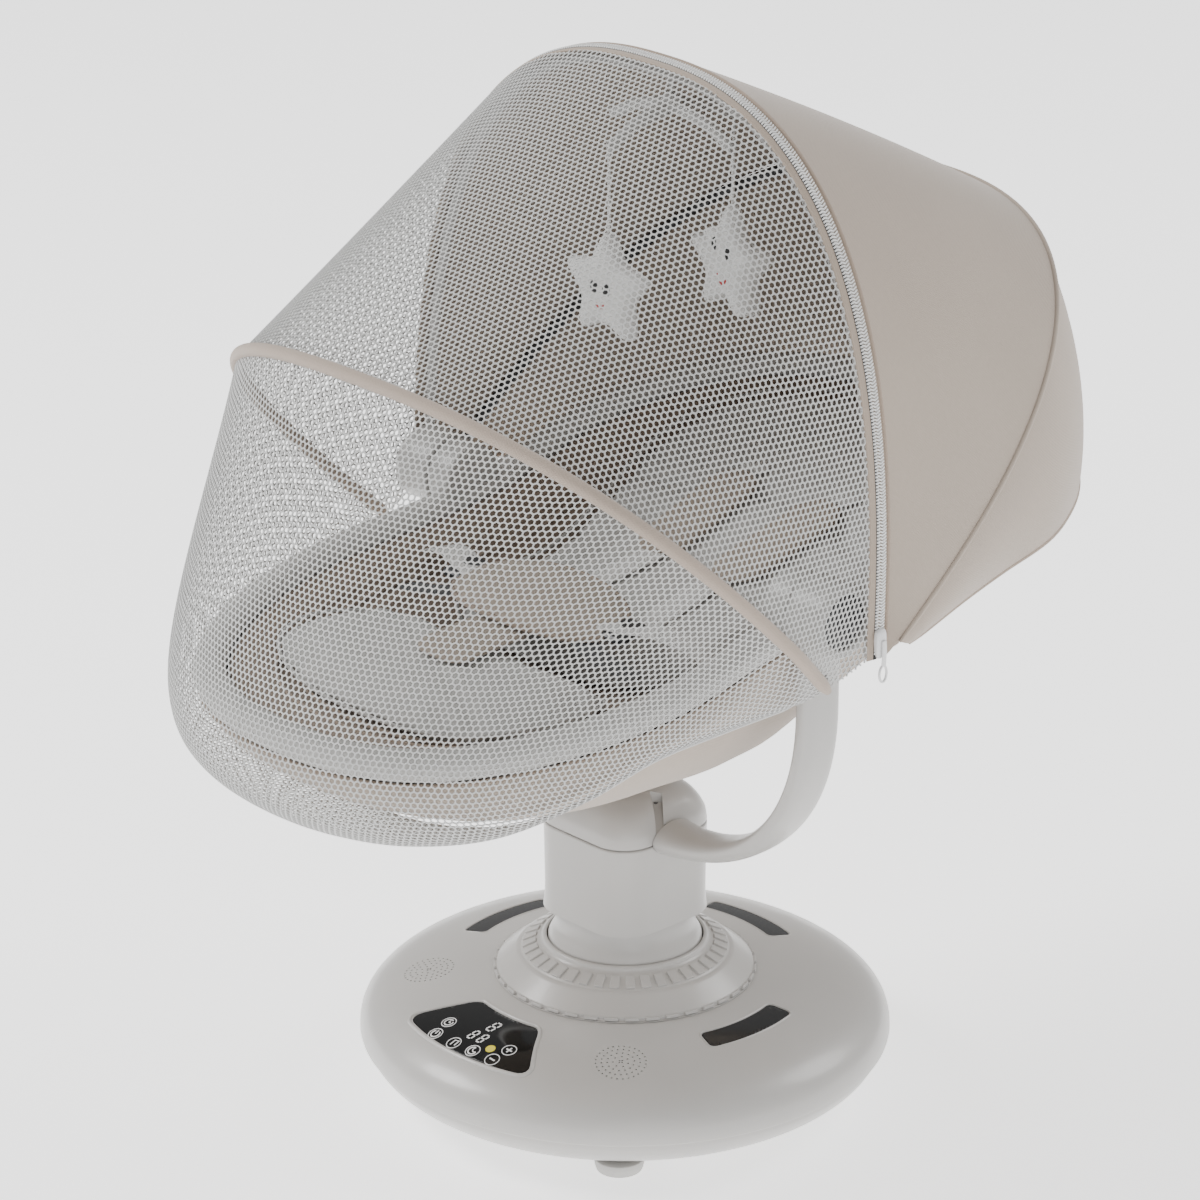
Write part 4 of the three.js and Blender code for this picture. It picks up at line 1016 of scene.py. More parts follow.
def build_liner():
    """The padded sling, with two piped seams along its side wall."""
    shares = np.concatenate([np.linspace(0.05, 0.7, 12), np.linspace(0.74, 1, 16)])
    edge = LINER_EDGE

    def layer(loop, sink):
        rings = []
        for share in shares:
            ring = towards_centre(loop, share)
            quilt = 0.0016 * np.cos(np.clip((share - 0.80) / 0.20, -0.5, 1) * 2 * np.pi * 1.5)
            quilt = quilt if share > 0.74 and sink == 0 else 0
            rings.append(on_rim(ring[:, 0], ring[:, 1], liner_h(ring[:, 0], ring[:, 1]) - sink + quilt))
        return rings

    lower, upper = layer(edge, 0.003), layer(offset(edge, -0.003), 0)
    liner = make("sling", *loft(lower + upper[::-1]), BEIGE_INSIDE, 180)
    place(liner, "seat", "beige_fabric", "seat_liner")
    for name, share in (("sling_piping_outer", 0.905), ("sling_piping_inner", 0.855)):
        ring = towards_centre(offset(edge, -0.003), share)
        line = on_rim(ring[:, 0], ring[:, 1], liner_h(ring[:, 0], ring[:, 1]) + 0.0008)
        piping = sweep(line, round_section(0.0017, sides=8), closed=True, up=(0, 0, 1))
        place(make(name, *piping, PIPING), "seat", "trim_fabric")


def pad_on_liner(half, thickness, centre):
    """Points and faces of a pad lying on the sling, a little small so that it can swell."""
    outline = offset(loop_through(half, 96), -0.003)
    shares = np.sin(np.linspace(0.12, math.pi / 2, 16))

    def ring(share, h):
        loop = towards_centre(outline, share, centre)
        return on_rim(loop[:, 0], loop[:, 1], liner_h(loop[:, 0], loop[:, 1]) + h)

    under = [ring(share, PAD_LIFT) for share in shares]
    over = [ring(share * 0.985, PAD_LIFT + 0.004 + (thickness - 0.007) * (1 - share ** 3.5))
            for share in shares]
    return loft(under + over[::-1])


def inflated(obj, voxel, pressure, cap):
    """Swells a closed pad with a short cloth simulation, and limits how far any point may move."""
    remesh = obj.modifiers.new("remesh", "REMESH")
    remesh.mode = "VOXEL"
    remesh.voxel_size = voxel
    remesh.use_smooth_shade = True
    material = obj.data.materials[0]
    apply_modifiers(obj)
    obj.data.materials.clear()
    obj.data.materials.append(material)
    before = np.array([v.co for v in obj.data.vertices])
    cloth = obj.modifiers.new("cloth", "CLOTH")
    settings = cloth.settings
    settings.quality = 4
    settings.mass = 0.3
    settings.tension_stiffness = 12.0
    settings.compression_stiffness = 12.0
    settings.shear_stiffness = 6.0
    settings.bending_stiffness = 0.4
    settings.use_pressure = True
    settings.uniform_pressure_force = pressure
    settings.effector_weights.gravity = 0
    scene = bpy.context.scene
    for step in range(1, SWELL_FRAMES + 1):
        scene.frame_set(step)
    apply_modifiers(obj)
    scene.frame_set(1)
    after = np.array([v.co for v in obj.data.vertices])
    move = after - before
    length = np.linalg.norm(move, axis=1, keepdims=True)
    move *= np.minimum(1, cap / np.maximum(length, 1e-9))
    obj.data.vertices.foreach_set("co", (before + move).astype(np.float32).ravel())
    obj.data.update()
    obj.data.shade_smooth()
    return obj


def to_rim(points):
    """Rim coordinates u, v and h of points."""
    x, y, z = points[:, 0], points[:, 1], points[:, 2] - RIM_Z
    c, s = math.cos(RIM_TILT), math.sin(RIM_TILT)
    return x, y * c + z * s, z * c - y * s


def crease(obj, distance, depth, width):
    """Presses a sewn channel into a pad, where a distance in rim coordinates is near zero."""
    points = np.array([v.co for v in obj.data.vertices])
    normals = np.array([v.normal for v in obj.data.vertices])
    u, v, _ = to_rim(points)
    press = depth * np.exp(-((distance(u, v) / width) ** 2))
    points -= normals * (press * np.clip(normals[:, 2], 0, 1))[:, None]
    obj.data.vertices.foreach_set("co", points.astype(np.float32).ravel())
    obj.data.update()


def pad_seam(half, inset, lift):
    """Piping round a pad, a little above the sling."""
    loop = offset(loop_through(half, 120), -inset)
    line = on_rim(loop[:, 0], loop[:, 1], liner_h(loop[:, 0], loop[:, 1]) + lift)
    return sweep(line, round_section(0.0015, sides=8), closed=True, up=(0, 0, 1))


def build_cushions():
    """The infant insert and the foot cushion, each swollen and then given its sewn channels."""
    cushions = (
        ("insert_cushion", "infant_insert", INSERT_OUTLINE, INSERT_THICKNESS, 0.090, (
            (lambda u, v: v - 0.165 + 0.25 * np.abs(u), 0.007, 0.008),
            (lambda u, v: np.abs(u) - 0.072 - 0.12 * np.maximum(0, v), 0.004, 0.007))),
        ("foot_pad", "foot_cushion", FOOT_OUTLINE, FOOT_THICKNESS, -0.190, (
            (lambda u, v: v + 0.190 - 0.5 * u, 0.003, 0.005),
            (lambda u, v: v + 0.190 + 0.5 * u, 0.003, 0.005))),
    )
    for name, node_name, outline, thickness, centre, channels in cushions:
        pad = make(name, *pad_on_liner(outline, thickness, centre), CUSHION, 180)
        inflated(pad, 0.005, 3.0, 0.006)
        for channel in channels:
            crease(pad, *channel)
        subdivide(pad)
        place(pad, "seat", "cushion_fabric", node_name)
    seam = joined(pad_seam(INSERT_OUTLINE, 0.006, 0.0085), pad_seam(FOOT_OUTLINE, 0.008, 0.0085))
    place(make("cushion_piping", *seam, CUSHION), "seat", "cushion_fabric")


def insert_top(u, v):
    return liner_h(np.asarray(u, float), v) + PAD_LIFT + INSERT_THICKNESS


def build_belly_pad():
    angles = 2 * np.pi * np.arange(72) / 72
    shares = np.sin(np.linspace(0.1, math.pi / 2, 12))

    def ring(share, h):
        uv = superellipse(angles, 0.078 * share, 0.042 * share, 2.2)
        return on_rim(uv[:, 0], uv[:, 1] - 0.086, h - 0.006 * (uv[:, 0] / 0.079) ** 2)

    under = [ring(share, 0.0008) for share in shares]
    over = [ring(share, 0.0065 + 0.0060 * (1 - share ** 3)) for share in shares]
    pad = make("waist_pad", *loft(under + over[::-1]), BEIGE, 180)
    inflated(pad, 0.003, 2.0, 0.003)
    subdivide(pad)
    place(pad, "seat", "beige_fabric", "belly_pad")
    edge = superellipse(angles, 0.0785, 0.0425, 2.2)
    line = on_rim(edge[:, 0], edge[:, 1] - 0.086, 0.0052 - 0.006 * (edge[:, 0] / 0.079) ** 2)
    piping = sweep(line, round_section(0.0022, sides=10), closed=True, up=(0, 0, 1))
    place(make("waist_pad_piping", *piping, PIPING), "seat", "trim_fabric")


def strap_path(route, count=24):
    route = np.asarray(route, float)
    return spline(on_rim(route[:, 0], route[:, 1], route[:, 2]), count)


def build_straps():
    v = np.array([-0.112, -0.140, -0.170, -0.190])
    tongue = spline(on_rim(0, v, np.array([-0.0045, -0.002, 0.0004, 0.0004])), 26)
    strap = make("crotch_tongue", *sweep(tongue, round_section(0.027, 0.003, 3.2, 32), up=(0, 0, 1),
                                         scale=capped(26, 4, 0.55)), BEIGE, 60)
    place(subdivide(strap), "seat", "beige_fabric", "crotch_strap")
    for side, sign in SIDES.items():
        build_shoulder_strap(side, sign)
        build_waist_strap(side, sign)


def build_shoulder_strap(side, sign):
    v = np.array([0.056, 0.070, 0.095, 0.130, 0.155, 0.169])
    u = sign * (0.038 + (v - 0.056) / 0.113 * 0.007)
    line = spline(on_rim(u, v, insert_top(u, v) + 0.0075), 30)
    sleeve = sweep(line, round_section(0.0225, 0.0052, 2.6, 28), up=UP_FROM_RIM,
                   scale=capped(30, 5, 0.4))
    pad = make(f"shoulder_{side}", *sleeve, BEIGE, 60)
    place(subdivide(pad), "seat", "beige_fabric", f"shoulder_pad_{side}")
    web = []
    for u0, v0, u1, v1 in ((0.034, 0.060, 0.044, -0.046), (0.046, 0.172, 0.048, 0.196)):
        stops = ((u0, v0, 0.006), ((u0 + u1) / 2, (v0 + v1) / 2, 0.004), (u1, v1, -0.002))
        route = [(sign * u, v, float(insert_top(sign * u, v)) + lift) for u, v, lift in stops]
        web.append(sweep(strap_path(route), round_section(0.0115, 0.0009, 4, 16), up=UP_FROM_RIM))
    place(make(f"shoulder_webbing_{side}", *joined(*web), WEBBING, 60), "seat", "webbing")


def build_waist_strap(side, sign):
    mirror = (sign, 1, 1)
    route = [(0.066, -0.084, 0.004), (0.085, -0.078, 0.002), (0.105, -0.072, 0.003),
             (0.128, -0.064, -0.003), (0.145, -0.058, -0.012)]
    belt = sweep(strap_path(np.multiply(route, mirror), 30), round_section(0.0125, 0.0011, 4, 16),
                 up=(0, 0, 1))
    place(make(f"waist_webbing_{side}", *belt, WEBBING, 60), "seat", "webbing", f"waist_strap_{side}")
    # Painted shadow: a dark strip just below each waist strap stands in for the shade that the strap casts
    # on the pad and sling.
    route = [(0.060, -0.105, -0.001), (0.090, -0.112, -0.006), (0.122, -0.108, -0.014)]
    dark = sweep(strap_path(np.multiply(route, mirror), 20), round_section(0.0095, 0.0011, 4, 16),
                 up=(0, 0, 1))
    place(make(f"waist_strap_painted_shadow_{side}", *dark, PAINTED_STRAP_SHADOW, 60), "seat", "webbing")
    rings = []
    for share, z in ((0.9, -0.003), (1, -0.0015), (1, 0.0015), (0.9, 0.003)):
        outline = rounded_rect(0.022 * share, 0.030 * share, 0.004, 5)
        rings.append(np.column_stack([outline, np.full(len(outline), z)]))
    points, faces = loft(rings)
    points = on_rim(points[:, 0] + sign * 0.084, points[:, 1] - 0.082, points[:, 2] + 0.0005)
    place(make(f"buckle_{side}", points, faces, DARK_PLASTIC_AND_HOLE_SHADE), "seat", "dark_plastic")


# ---------------------------------------------------------------- hood, zip and net

ARCH = {"a": 0.2395, "b": 0.361, "y": 0.0155, "z": 0.4315, "lean": 1.5, "base": 0.0,
        "foot": (0.2395, -0.023)}
REAR_BOW = {"a": 0.244, "b": 0.352, "y": 0.024, "z": 0.410, "lean": 51, "base": 0.028,
            "foot": (0.244, 0.012)}
HOOP = {"a": 0.245, "b": 0.262, "y": 0.0017, "z": 0.365, "lean": -45, "base": 0.100,
        "foot": (0.234, 0.041)}
BOW_POWER = 2.5
SHEET_COLUMNS = 120
CABIN_CENTRE = np.array([0, 0.060, 0.480])


def leaning(curve, u, v):
    lean = math.radians(curve["lean"])
    return np.stack([u, curve["y"] + v * math.sin(lean), curve["z"] + v * math.cos(lean)], axis=-1)


def bow_line(curve, count, inset=0.0):
    """A superellipse bow from the right foot over the top to the left foot."""
    angles = np.linspace(0, np.pi, 1200)
    uv = superellipse(angles, curve["a"] - inset, curve["b"] - inset, BOW_POWER) + (0, curve["base"])
    foot_u, foot_v = curve["foot"]
    ends = np.array([(foot_u - inset, foot_v)])
    uv = np.vstack([ends, uv, ends * (-1, 1)])
    return evenly(leaning(curve, uv[:, 0], uv[:, 1]), count)


def arch_line(count=SHEET_COLUMNS, inset=0.0, shift=0.0):
    return bow_line(ARCH, count, inset) + (0, shift, 0)


def rear_line(count=SHEET_COLUMNS, inset=0.0):
    return bow_line(REAR_BOW, count, inset)


def hoop_line(count=SHEET_COLUMNS):
    line = bow_line(HOOP, 600)
    for _ in range(60):
        line[1:-1] = (line[:-2] + 2 * line[1:-1] + line[2:]) / 4
    return evenly(line, count)


def mirrored_line(half):
    half = np.asarray(half, float)
    return np.vstack([half, half[:-1][::-1] * (-1, 1, 1)])


HOOD_HEM = np.array([
    (0.240, 0.047, -0.014), (0.231, 0.085, -0.015), (0.222, 0.125, -0.016), (0.215, 0.170, -0.016),
    (0.2075, 0.228, -0.016), (0.192, 0.266, -0.016), (0.170, 0.301, -0.016), (0.142, 0.329, -0.016),
    (0.098, 0.350, -0.016), (0, 0.359, -0.016),
])
NET_WAIST = [
    (0.232, -0.040, 0.392), (0.221, -0.095, 0.390), (0.211, -0.160, 0.388), (0.196, -0.225, 0.382),
    (0.166, -0.288, 0.376), (0.118, -0.334, 0.372), (0.060, -0.362, 0.370), (0, -0.3708, 0.370),
]
NET_TURN = [
    (0.220, -0.040, 0.384), (0.211, -0.095, 0.380), (0.201, -0.160, 0.373), (0.186, -0.220, 0.352),
    (0.155, -0.277, 0.334), (0.108, -0.315, 0.325), (0.055, -0.334, 0.321), (0, -0.340, 0.320),
]
NET_HEM = [
    (0.208, -0.038, 0.377), (0.201, -0.095, 0.373), (0.192, -0.155, 0.366), (0.172, -0.196, 0.344),
    (0.134, -0.222, 0.319), (0.090, -0.238, 0.306), (0.045, -0.246, 0.299), (0, -0.248, 0.297),
]


def stretched(start, stop, rows, clear=(0.0, 0.0), belly=0.0):
    """A grid of points on the cloth between two lines."""
    run = stop - start
    length = np.linalg.norm(run, axis=1)
    columns = len(start)
    grid = []
    for t in np.linspace(0, 1, rows):
        share = (clear[0] + (length - clear[0] - clear[1]) * t) / length
        point = start + run * share[:, None]
        swell = belly * 4 * t * (1 - t) * np.sin(np.pi * np.arange(columns) / (columns - 1)) ** 0.5
        grid.append(point + unit(point - CABIN_CENTRE) * swell[:, None])
    return np.array(grid)


def grid_normals(grid):
    along = np.gradient(grid, axis=0)
    across = np.gradient(grid, axis=1)
    return unit(np.cross(across, along))


def sheet_mesh(grid, thickness):
    """A closed thin sheet from a grid of points, as rings that run round both of its faces."""
    normals = grid_normals(grid) * thickness / 2
    rings = np.concatenate([grid + normals, (grid - normals)[:, ::-1]], axis=1)
    points, faces = loft(rings, caps=False)
    rows, size = rings.shape[:2]
    for start in (0, (rows - 1) * size):
        faces += [[start + j, start + j + 1, start + size - 2 - j, start + size - 1 - j]
                  for j in range(size // 2 - 1)]
    return points, faces


def cloth_size(grid):
    """Width, length and area of the flat cut that a grid was made from."""
    wide = np.linalg.norm(np.diff(grid, axis=1), axis=2).sum(axis=1).max()
    long = np.linalg.norm(np.diff(grid, axis=0), axis=2).sum(axis=0).max()
    a, b, c, d = grid[:-1, :-1], grid[1:, :-1], grid[1:, 1:], grid[:-1, 1:]
    corners = np.linalg.norm([np.cross(c - a, b - a), np.cross(d - a, c - a)], axis=3)
    return float(wide), float(long), float(corners.sum() / 2)


def blend_between(obj):
    """Bakes a cloth's placement into its mesh; the cloth is not bent between the rods."""
    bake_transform(obj)


def hood_sheet(name, grid, replaced):
    sheet = make(name, *sheet_mesh(grid, 0.0022), BEIGE, 70)
    blend_between(sheet)
    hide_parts(replaced)


def edge_roll(line, radius, material, name, body, up=None):
    tube = sweep(line, round_section(radius, sides=12), up=up, scale=capped(len(line), 3, 0.5))
    return place(make(name, *tube, material), body, "trim_fabric")


def bow_normal(curve):
    lean = math.radians(curve["lean"])
    return np.array([0, math.cos(lean), -math.sin(lean)])


ARCH_NORMAL = bow_normal(ARCH)


def build_hood():
    rows = 26
    roof = stretched(rear_line(), arch_line(shift=0.010), rows, (0.001, 0.0), 0.003)
    hood_sheet("hood_roof_cloth", roof, "hood_roof")
    hem_line = spline(mirrored_line(on_rim(*HOOD_HEM.T)), SHEET_COLUMNS)
    back = stretched(hem_line, rear_line(), rows, (0.0, 0.0022), 0.011)
    hood_sheet("hood_back_cloth", back, "hood_back")
    edge_roll(hem_line, 0.0022, PIPING, "hood_hem", "seat")
    edge_roll(rear_line(inset=-0.0012), 0.0021, BEIGE, "hood_crease_seam", "rear_bow")
    rod = make("rear_rod", *sweep(rear_line(140, 0.008), round_section(0.004, sides=14)), DARK_PLASTIC_AND_HOLE_SHADE)
    place(rod, "rear_bow", "dark_plastic", "rear_bow")
    top = ARCH["z"] + ARCH["b"] - 0.007
    hanger = spline([(0, 0.024, top - 0.001), (0, 0.034, top - 0.005),
                     (0, MOBILE_Y - 0.002, top - 0.012), (0, MOBILE_Y, MOBILE_HUB_Z + 0.0095)], 24)
    rods = joined(sweep(arch_line(140, 0.007), round_section(0.004, sides=14), up=ARCH_NORMAL),
                  sweep(hanger, round_section(0.0026)))
    place(make("front_rod", *rods, WHITE), "hood_bow", "white_plastic", "hood_bow")


def tooth(at, along, outward, length, lean):
    """One coil tooth: a small wedge that leans along the zip."""
    corners = []
    for x, y, z in ((-1, -1, 0), (1, -1, 0), (1, 1, 0), (-1, 1, 0), (-0.6, -0.7, 1), (0.9, -0.7, 1),
                    (0.9, 0.7, 1), (-0.6, 0.7, 1)):
        corners.append(at + ARCH_NORMAL * (x * length / 2) + along * (y * 0.00075 + lean * x * 0.0009)
                       + outward * (z * 0.0013))
    faces = [[0, 3, 2, 1], [4, 5, 6, 7], [0, 1, 5, 4], [1, 2, 6, 5], [2, 3, 7, 6], [3, 0, 4, 7]]
    return corners, faces


def out_of_arch(line):
    return np.cross(ARCH_NORMAL, unit(np.gradient(line, axis=0)))


def build_zip():
    """A coil zip along the front bow, from the hood's edge to the net's edge."""
    line = arch_line(240)
    band = sweep(line, round_section(0.0086, 0.0010, 4, 16), up=out_of_arch(line))
    place(make("zip_band", *band, TAPE, 60), "hood_bow", "trim_fabric", "zip_tape")
    # Painted shade: a black strip between the teeth and the net's tape stands in for the shadow in the gaps
    # between the teeth.
    gap = arch_line(240, inset=-0.0009, shift=-0.0022)
    dark = sweep(gap, round_section(0.0016, 0.0005, 3, 10), up=out_of_arch(gap))
    place(make("zip_gap_painted_shade", *dark, BLACK_THREAD_AND_GAP_SHADE), "hood_bow", "trim_fabric")
    count = 440
    fitted = range(2, count - 14)
    track = arch_line(count, inset=-0.0011, shift=0.0016)
    along = unit(np.gradient(track, axis=0))
    outward = unit(np.cross(along, ARCH_NORMAL))
    outward *= np.sign((outward * (track - (0, 0, 0.5))).sum(axis=1))[:, None]
    teeth = []
    for i in fitted:
        for shift in (0.0016, -0.0016):
            teeth.append(tooth(track[i] + ARCH_NORMAL * shift, along[i], outward[i], 0.0036, np.sign(shift)))
    for i in fitted:
        teeth.append(tooth(track[i] - ARCH_NORMAL * 0.0040, along[i], outward[i], 0.0022, 0.3))
    place(make("zip_teeth", *joined(*teeth), COIL, 30), "hood_bow", "zip_metal")
    edge_roll(arch_line(240, -0.0006, 0.0088), 0.0016, PIPING, "hood_front_piping", "hood_bow",
              ARCH_NORMAL)
    edge_roll(arch_line(240, 0.0002, -0.0086), 0.0012, TAPE, "net_edge_tape", "hood_bow", ARCH_NORMAL)
    build_slider()


def build_slider():
    """Slider and loop puller at the lower right end of the zip."""
    x = ARCH["a"] + 0.0022
    rings = []
    for z, wide, deep in ((0.0105, 0.0030, 0.0016), (0.0095, 0.0046, 0.0026), (0.004, 0.0052, 0.0032),
                          (-0.004, 0.0047, 0.0030), (-0.010, 0.0036, 0.0024), (-0.0115, 0.0024, 0.0014)):
        section = round_section(wide, deep, 3, 20)
        rings.append(np.column_stack([x + 0.0012 + section[:, 1], ARCH["y"] + section[:, 0],
                                      np.full(20, 0.421 + z)]))
    pull = [(x + 0.0052, ARCH["y"], 0.424), (x + 0.0056, ARCH["y"], 0.415),
            (x + 0.0050, ARCH["y"], 0.404)]
    stem = sweep(spline(pull, 16), round_section(0.0022, 0.0008, 3, 12), up=(1, 0, 0))
    loop_angles = np.linspace(0, 2 * np.pi, 29)[:-1]
    loop = np.column_stack([np.full(28, x + 0.0045), ARCH["y"] + 0.0036 * np.cos(loop_angles),
                            0.3985 + 0.0062 * np.sin(loop_angles)])
    ring = sweep(loop, round_section(0.0010, sides=10), up=(1, 0, 0), closed=True)
    slider = make("zip_pull", *joined(loft(rings), stem, ring), ENAMEL, 50)
    place(subdivide(slider), "zip_slider", "zip_metal", "zip_slider")


NET_PITCH = 0.0048
NET_YARN_WIDTH = 0.00118
NET_THICKNESS = 0.0007
NET_OPENNESS = ((NET_PITCH - NET_YARN_WIDTH) / NET_PITCH) ** 2
# Steps in rows and columns from a hole to its neighbours, and the hole corners that each face joins.
SELF, RIGHT, UP_RIGHT, UP_LEFT = (0, 0), (0, 1), (1, 0), (1, -1)
YARN_FACES = (
    ((SELF, 5), (RIGHT, 3), (RIGHT, 2), (SELF, 0)),
    ((SELF, 0), (UP_RIGHT, 4), (UP_RIGHT, 3), (SELF, 1)),
    ((SELF, 1), (UP_LEFT, 5), (UP_LEFT, 4), (SELF, 2)),
    ((SELF, 0), (RIGHT, 2), (UP_RIGHT, 4)),
    ((SELF, 1), (UP_RIGHT, 3), (UP_LEFT, 5)),
)


def sample(grid, row, column):
    """Points at fractional rows and columns of a grid."""
    rows, columns = grid.shape[:2]
    row, column = np.clip(row, 0, rows - 1), np.clip(column, 0, columns - 1)
    i, j = np.minimum(row.astype(int), rows - 2), np.minimum(column.astype(int), columns - 2)
    s, t = (row - i)[..., None], (column - j)[..., None]
    return ((1 - s) * (1 - t) * grid[i, j] + s * (1 - t) * grid[i + 1, j]
            + (1 - s) * t * grid[i, j + 1] + s * t * grid[i + 1, j + 1])


def yarn_faces(inside, odd):
    """Strands between neighbouring holes and knots between three, as rows of numbered hole corners."""
    n, m = inside.shape
    i, j = np.indices(inside.shape).reshape(2, -1)
    faces = []
    for corners in YARN_FACES:
        rows = np.stack([i + step[0] for step, _ in corners])
        columns = np.stack([j + step[1] + step[0] * odd[i, j] for step, _ in corners])
        exist = ((rows < n) & (columns >= 0) & (columns < m)).all(axis=0)
        rows, columns = rows[:, exist], columns[:, exist]
        keep = inside[rows, columns].any(axis=0)
        turn = np.array([corner for _, corner in corners])[:, None]
        faces.append(((rows * m + columns) * 6 + turn)[:, keep].T)
    return faces


def plate(points, normals, faces):
    """A closed plate on both sides of a net of faces."""
    count = len(points)
    edges = np.vstack([np.column_stack([f[:, k], f[:, (k + 1) % f.shape[1]]])
                       for f in faces for k in range(f.shape[1])])
    _, index, uses = np.unique(np.sort(edges, axis=1), axis=0, return_index=True, return_counts=True)
    start, stop = edges[index[uses == 1]].T
    skin = []
    for f in faces:
        skin += f.tolist() + (f[:, ::-1] + count).tolist()
    skin += np.column_stack([stop, start, start + count, stop + count]).tolist()
    return np.vstack([points + normals, points - normals]), skin


def hex_net(grid, first, last):
    """A plate of yarn with hexagonal holes on some columns of a grid, and each point's row share."""
    rows, columns = grid.shape[:2]
    middle = np.concatenate([[0], np.cumsum(np.linalg.norm(np.diff(grid[rows // 2], axis=0), axis=1))])
    reach = np.linalg.norm(np.diff(grid, axis=0), axis=2).sum(axis=0)
    low, high = middle[first], middle[last]
    row_pitch = NET_PITCH * math.sqrt(3) / 2
    tall = int(reach.max() / 2 / row_pitch) + 2
    across = np.arange(math.floor(low / NET_PITCH), math.ceil(high / NET_PITCH) + 1)
    r, c = np.meshgrid(np.arange(-tall, tall + 1), across, indexing="ij")
    x = (c + 0.5 * (r % 2)) * NET_PITCH
    y = r * row_pitch
    half = np.interp(np.interp(x, middle, np.arange(columns)), np.arange(columns), reach) / 2
    margin = NET_PITCH * 0.2
    inside = (np.abs(y) < half - margin) & (x > low + margin) & (x < high - margin)
    hole = (NET_PITCH - NET_YARN_WIDTH) / math.sqrt(3)
    turns = np.radians(30 + 60 * np.arange(6))
    hx = np.clip(x[..., None] + hole * np.cos(turns), low, high)
    hy = y[..., None] + hole * np.sin(turns)
    column = np.interp(hx, middle, np.arange(columns))
    length = np.interp(column, np.arange(columns), reach)
    share = np.clip(hy / np.maximum(length, 1e-6) + 0.5, 0, 1)
    faces = yarn_faces(inside, r % 2)
    used = np.unique(np.concatenate([f.ravel() for f in faces]))
    renumber = np.zeros(hx.size, int)
    renumber[used] = np.arange(len(used))
    column, share = column.ravel()[used], share.ravel()[used]
    row = share * (rows - 1)
    normals = unit(sample(grid_normals(grid), row, column)) * NET_THICKNESS / 2
    points, faces = plate(sample(grid, row, column), normals, [renumber[f] for f in faces])
    return points, faces, np.tile(share, 2)


def net_panel(name, grid, first, last):
    points, faces, share = hex_net(grid, first, last)
    mesh = bpy.data.meshes.new(name)
    mesh.from_pydata(points.tolist(), [], faces)
    mesh.materials.append(NET_YARN)
    mesh.shade_smooth()
    mesh.set_sharp_from_angle(angle=math.radians(50))
    obj = bpy.data.objects.new(name, mesh)
    bpy.context.scene.collection.objects.link(obj)
    part = grid[:, first:last + 1]
    width = float(np.linalg.norm(np.diff(part, axis=1), axis=2).sum(axis=1).mean())
    length = float(np.linalg.norm(np.diff(part, axis=0), axis=2).sum(axis=0).mean())
    return obj, share, (width, length, cloth_size(part)[2] * (1 - NET_OPENNESS))


def front_net_grid(columns, rows=90):
    below = [spline(mirrored_line(line), columns) for line in (NET_WAIST, NET_TURN, NET_HEM)]
    lines = np.array([hoop_line(columns)] + below)
    strips = []
    for j in range(columns):
        strip = spline(lines[:, j], 400)
        length = np.linalg.norm(np.diff(strip, axis=0), axis=1).sum()
        strips.append(evenly(strip[int(400 * 0.0045 / length):], rows))
    return np.array(strips).transpose(1, 0, 2)


def build_nets():
    columns = 241
    half = columns // 2
    halves = {"right": (0, half), "left": (half, columns - 1)}
    roof = stretched(arch_line(columns, shift=-0.0095), hoop_line(columns), 60, (0.0, 0.0045))
    for side, (first, last) in halves.items():
        net, share, (width, length, area) = net_panel(f"net_roof_{side}", roof, first, last)
        blend_between(net)
        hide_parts("net_roof")
    front = front_net_grid(columns)
    for side, (first, last) in halves.items():
        net, _, (width, length, area) = net_panel(f"net_front_{side}", front, first, last)
        place(net, "net_hoop", "netting", "net_front")
        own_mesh(net)
    hem = edge_roll(front[-1], 0.0016, NET_YARN, "net_hem", "net_hoop")
    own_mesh(hem)
    sleeve = sweep(hoop_line(200), round_section(0.005, sides=20), scale=capped(200, 3, 0.6))
    place(make("hoop_sleeve", *sleeve, HOOP_COVER), "net_hoop", "trim_fabric", "net_hoop")


# ---------------------------------------------------------------- mobile

MOBILE_Y, MOBILE_HUB_Z, MOBILE_REACH, MOBILE_ARM_END_Z = 0.045, 0.756, 0.062, 0.735
TOY_FACE_Y = 0.0082
TOY_THICKNESS = 0.018
ARM_DIRECTIONS = {"front": (0, -1), "right": (1, 0), "rear": (0, 1), "left": (-1, 0)}


def stuffed(outline, thickness):
    """A stuffed shape in the XZ plane from its outline, crowned to a thickness."""
    rings = []
    for t in np.linspace(-1, 1, 19):
        share = max(0.0, 1 - abs(t) ** 2.4) ** 0.5
        y = math.copysign(thickness / 2 * abs(math.sin(t * math.pi / 2)), t)
        share = 0.12 + 0.88 * share
        x, z = outline.T * share
        rings.append(np.column_stack([x, np.full(len(outline), y), z]))
    return loft(rings)


def star_outline():
    angles = np.pi / 2 + np.pi / 5 * np.arange(10)
    tips = np.where(np.arange(10) % 2 == 0, 0.0462, 0.024)
    corners = np.column_stack([tips * np.cos(angles), tips * np.sin(angles)])
    line = evenly(np.vstack([corners, corners[:1]]), 101)[:-1]
    for _ in range(7):
        line = (np.roll(line, 1, axis=0) + 2 * line + np.roll(line, -1, axis=0)) / 4
    return line


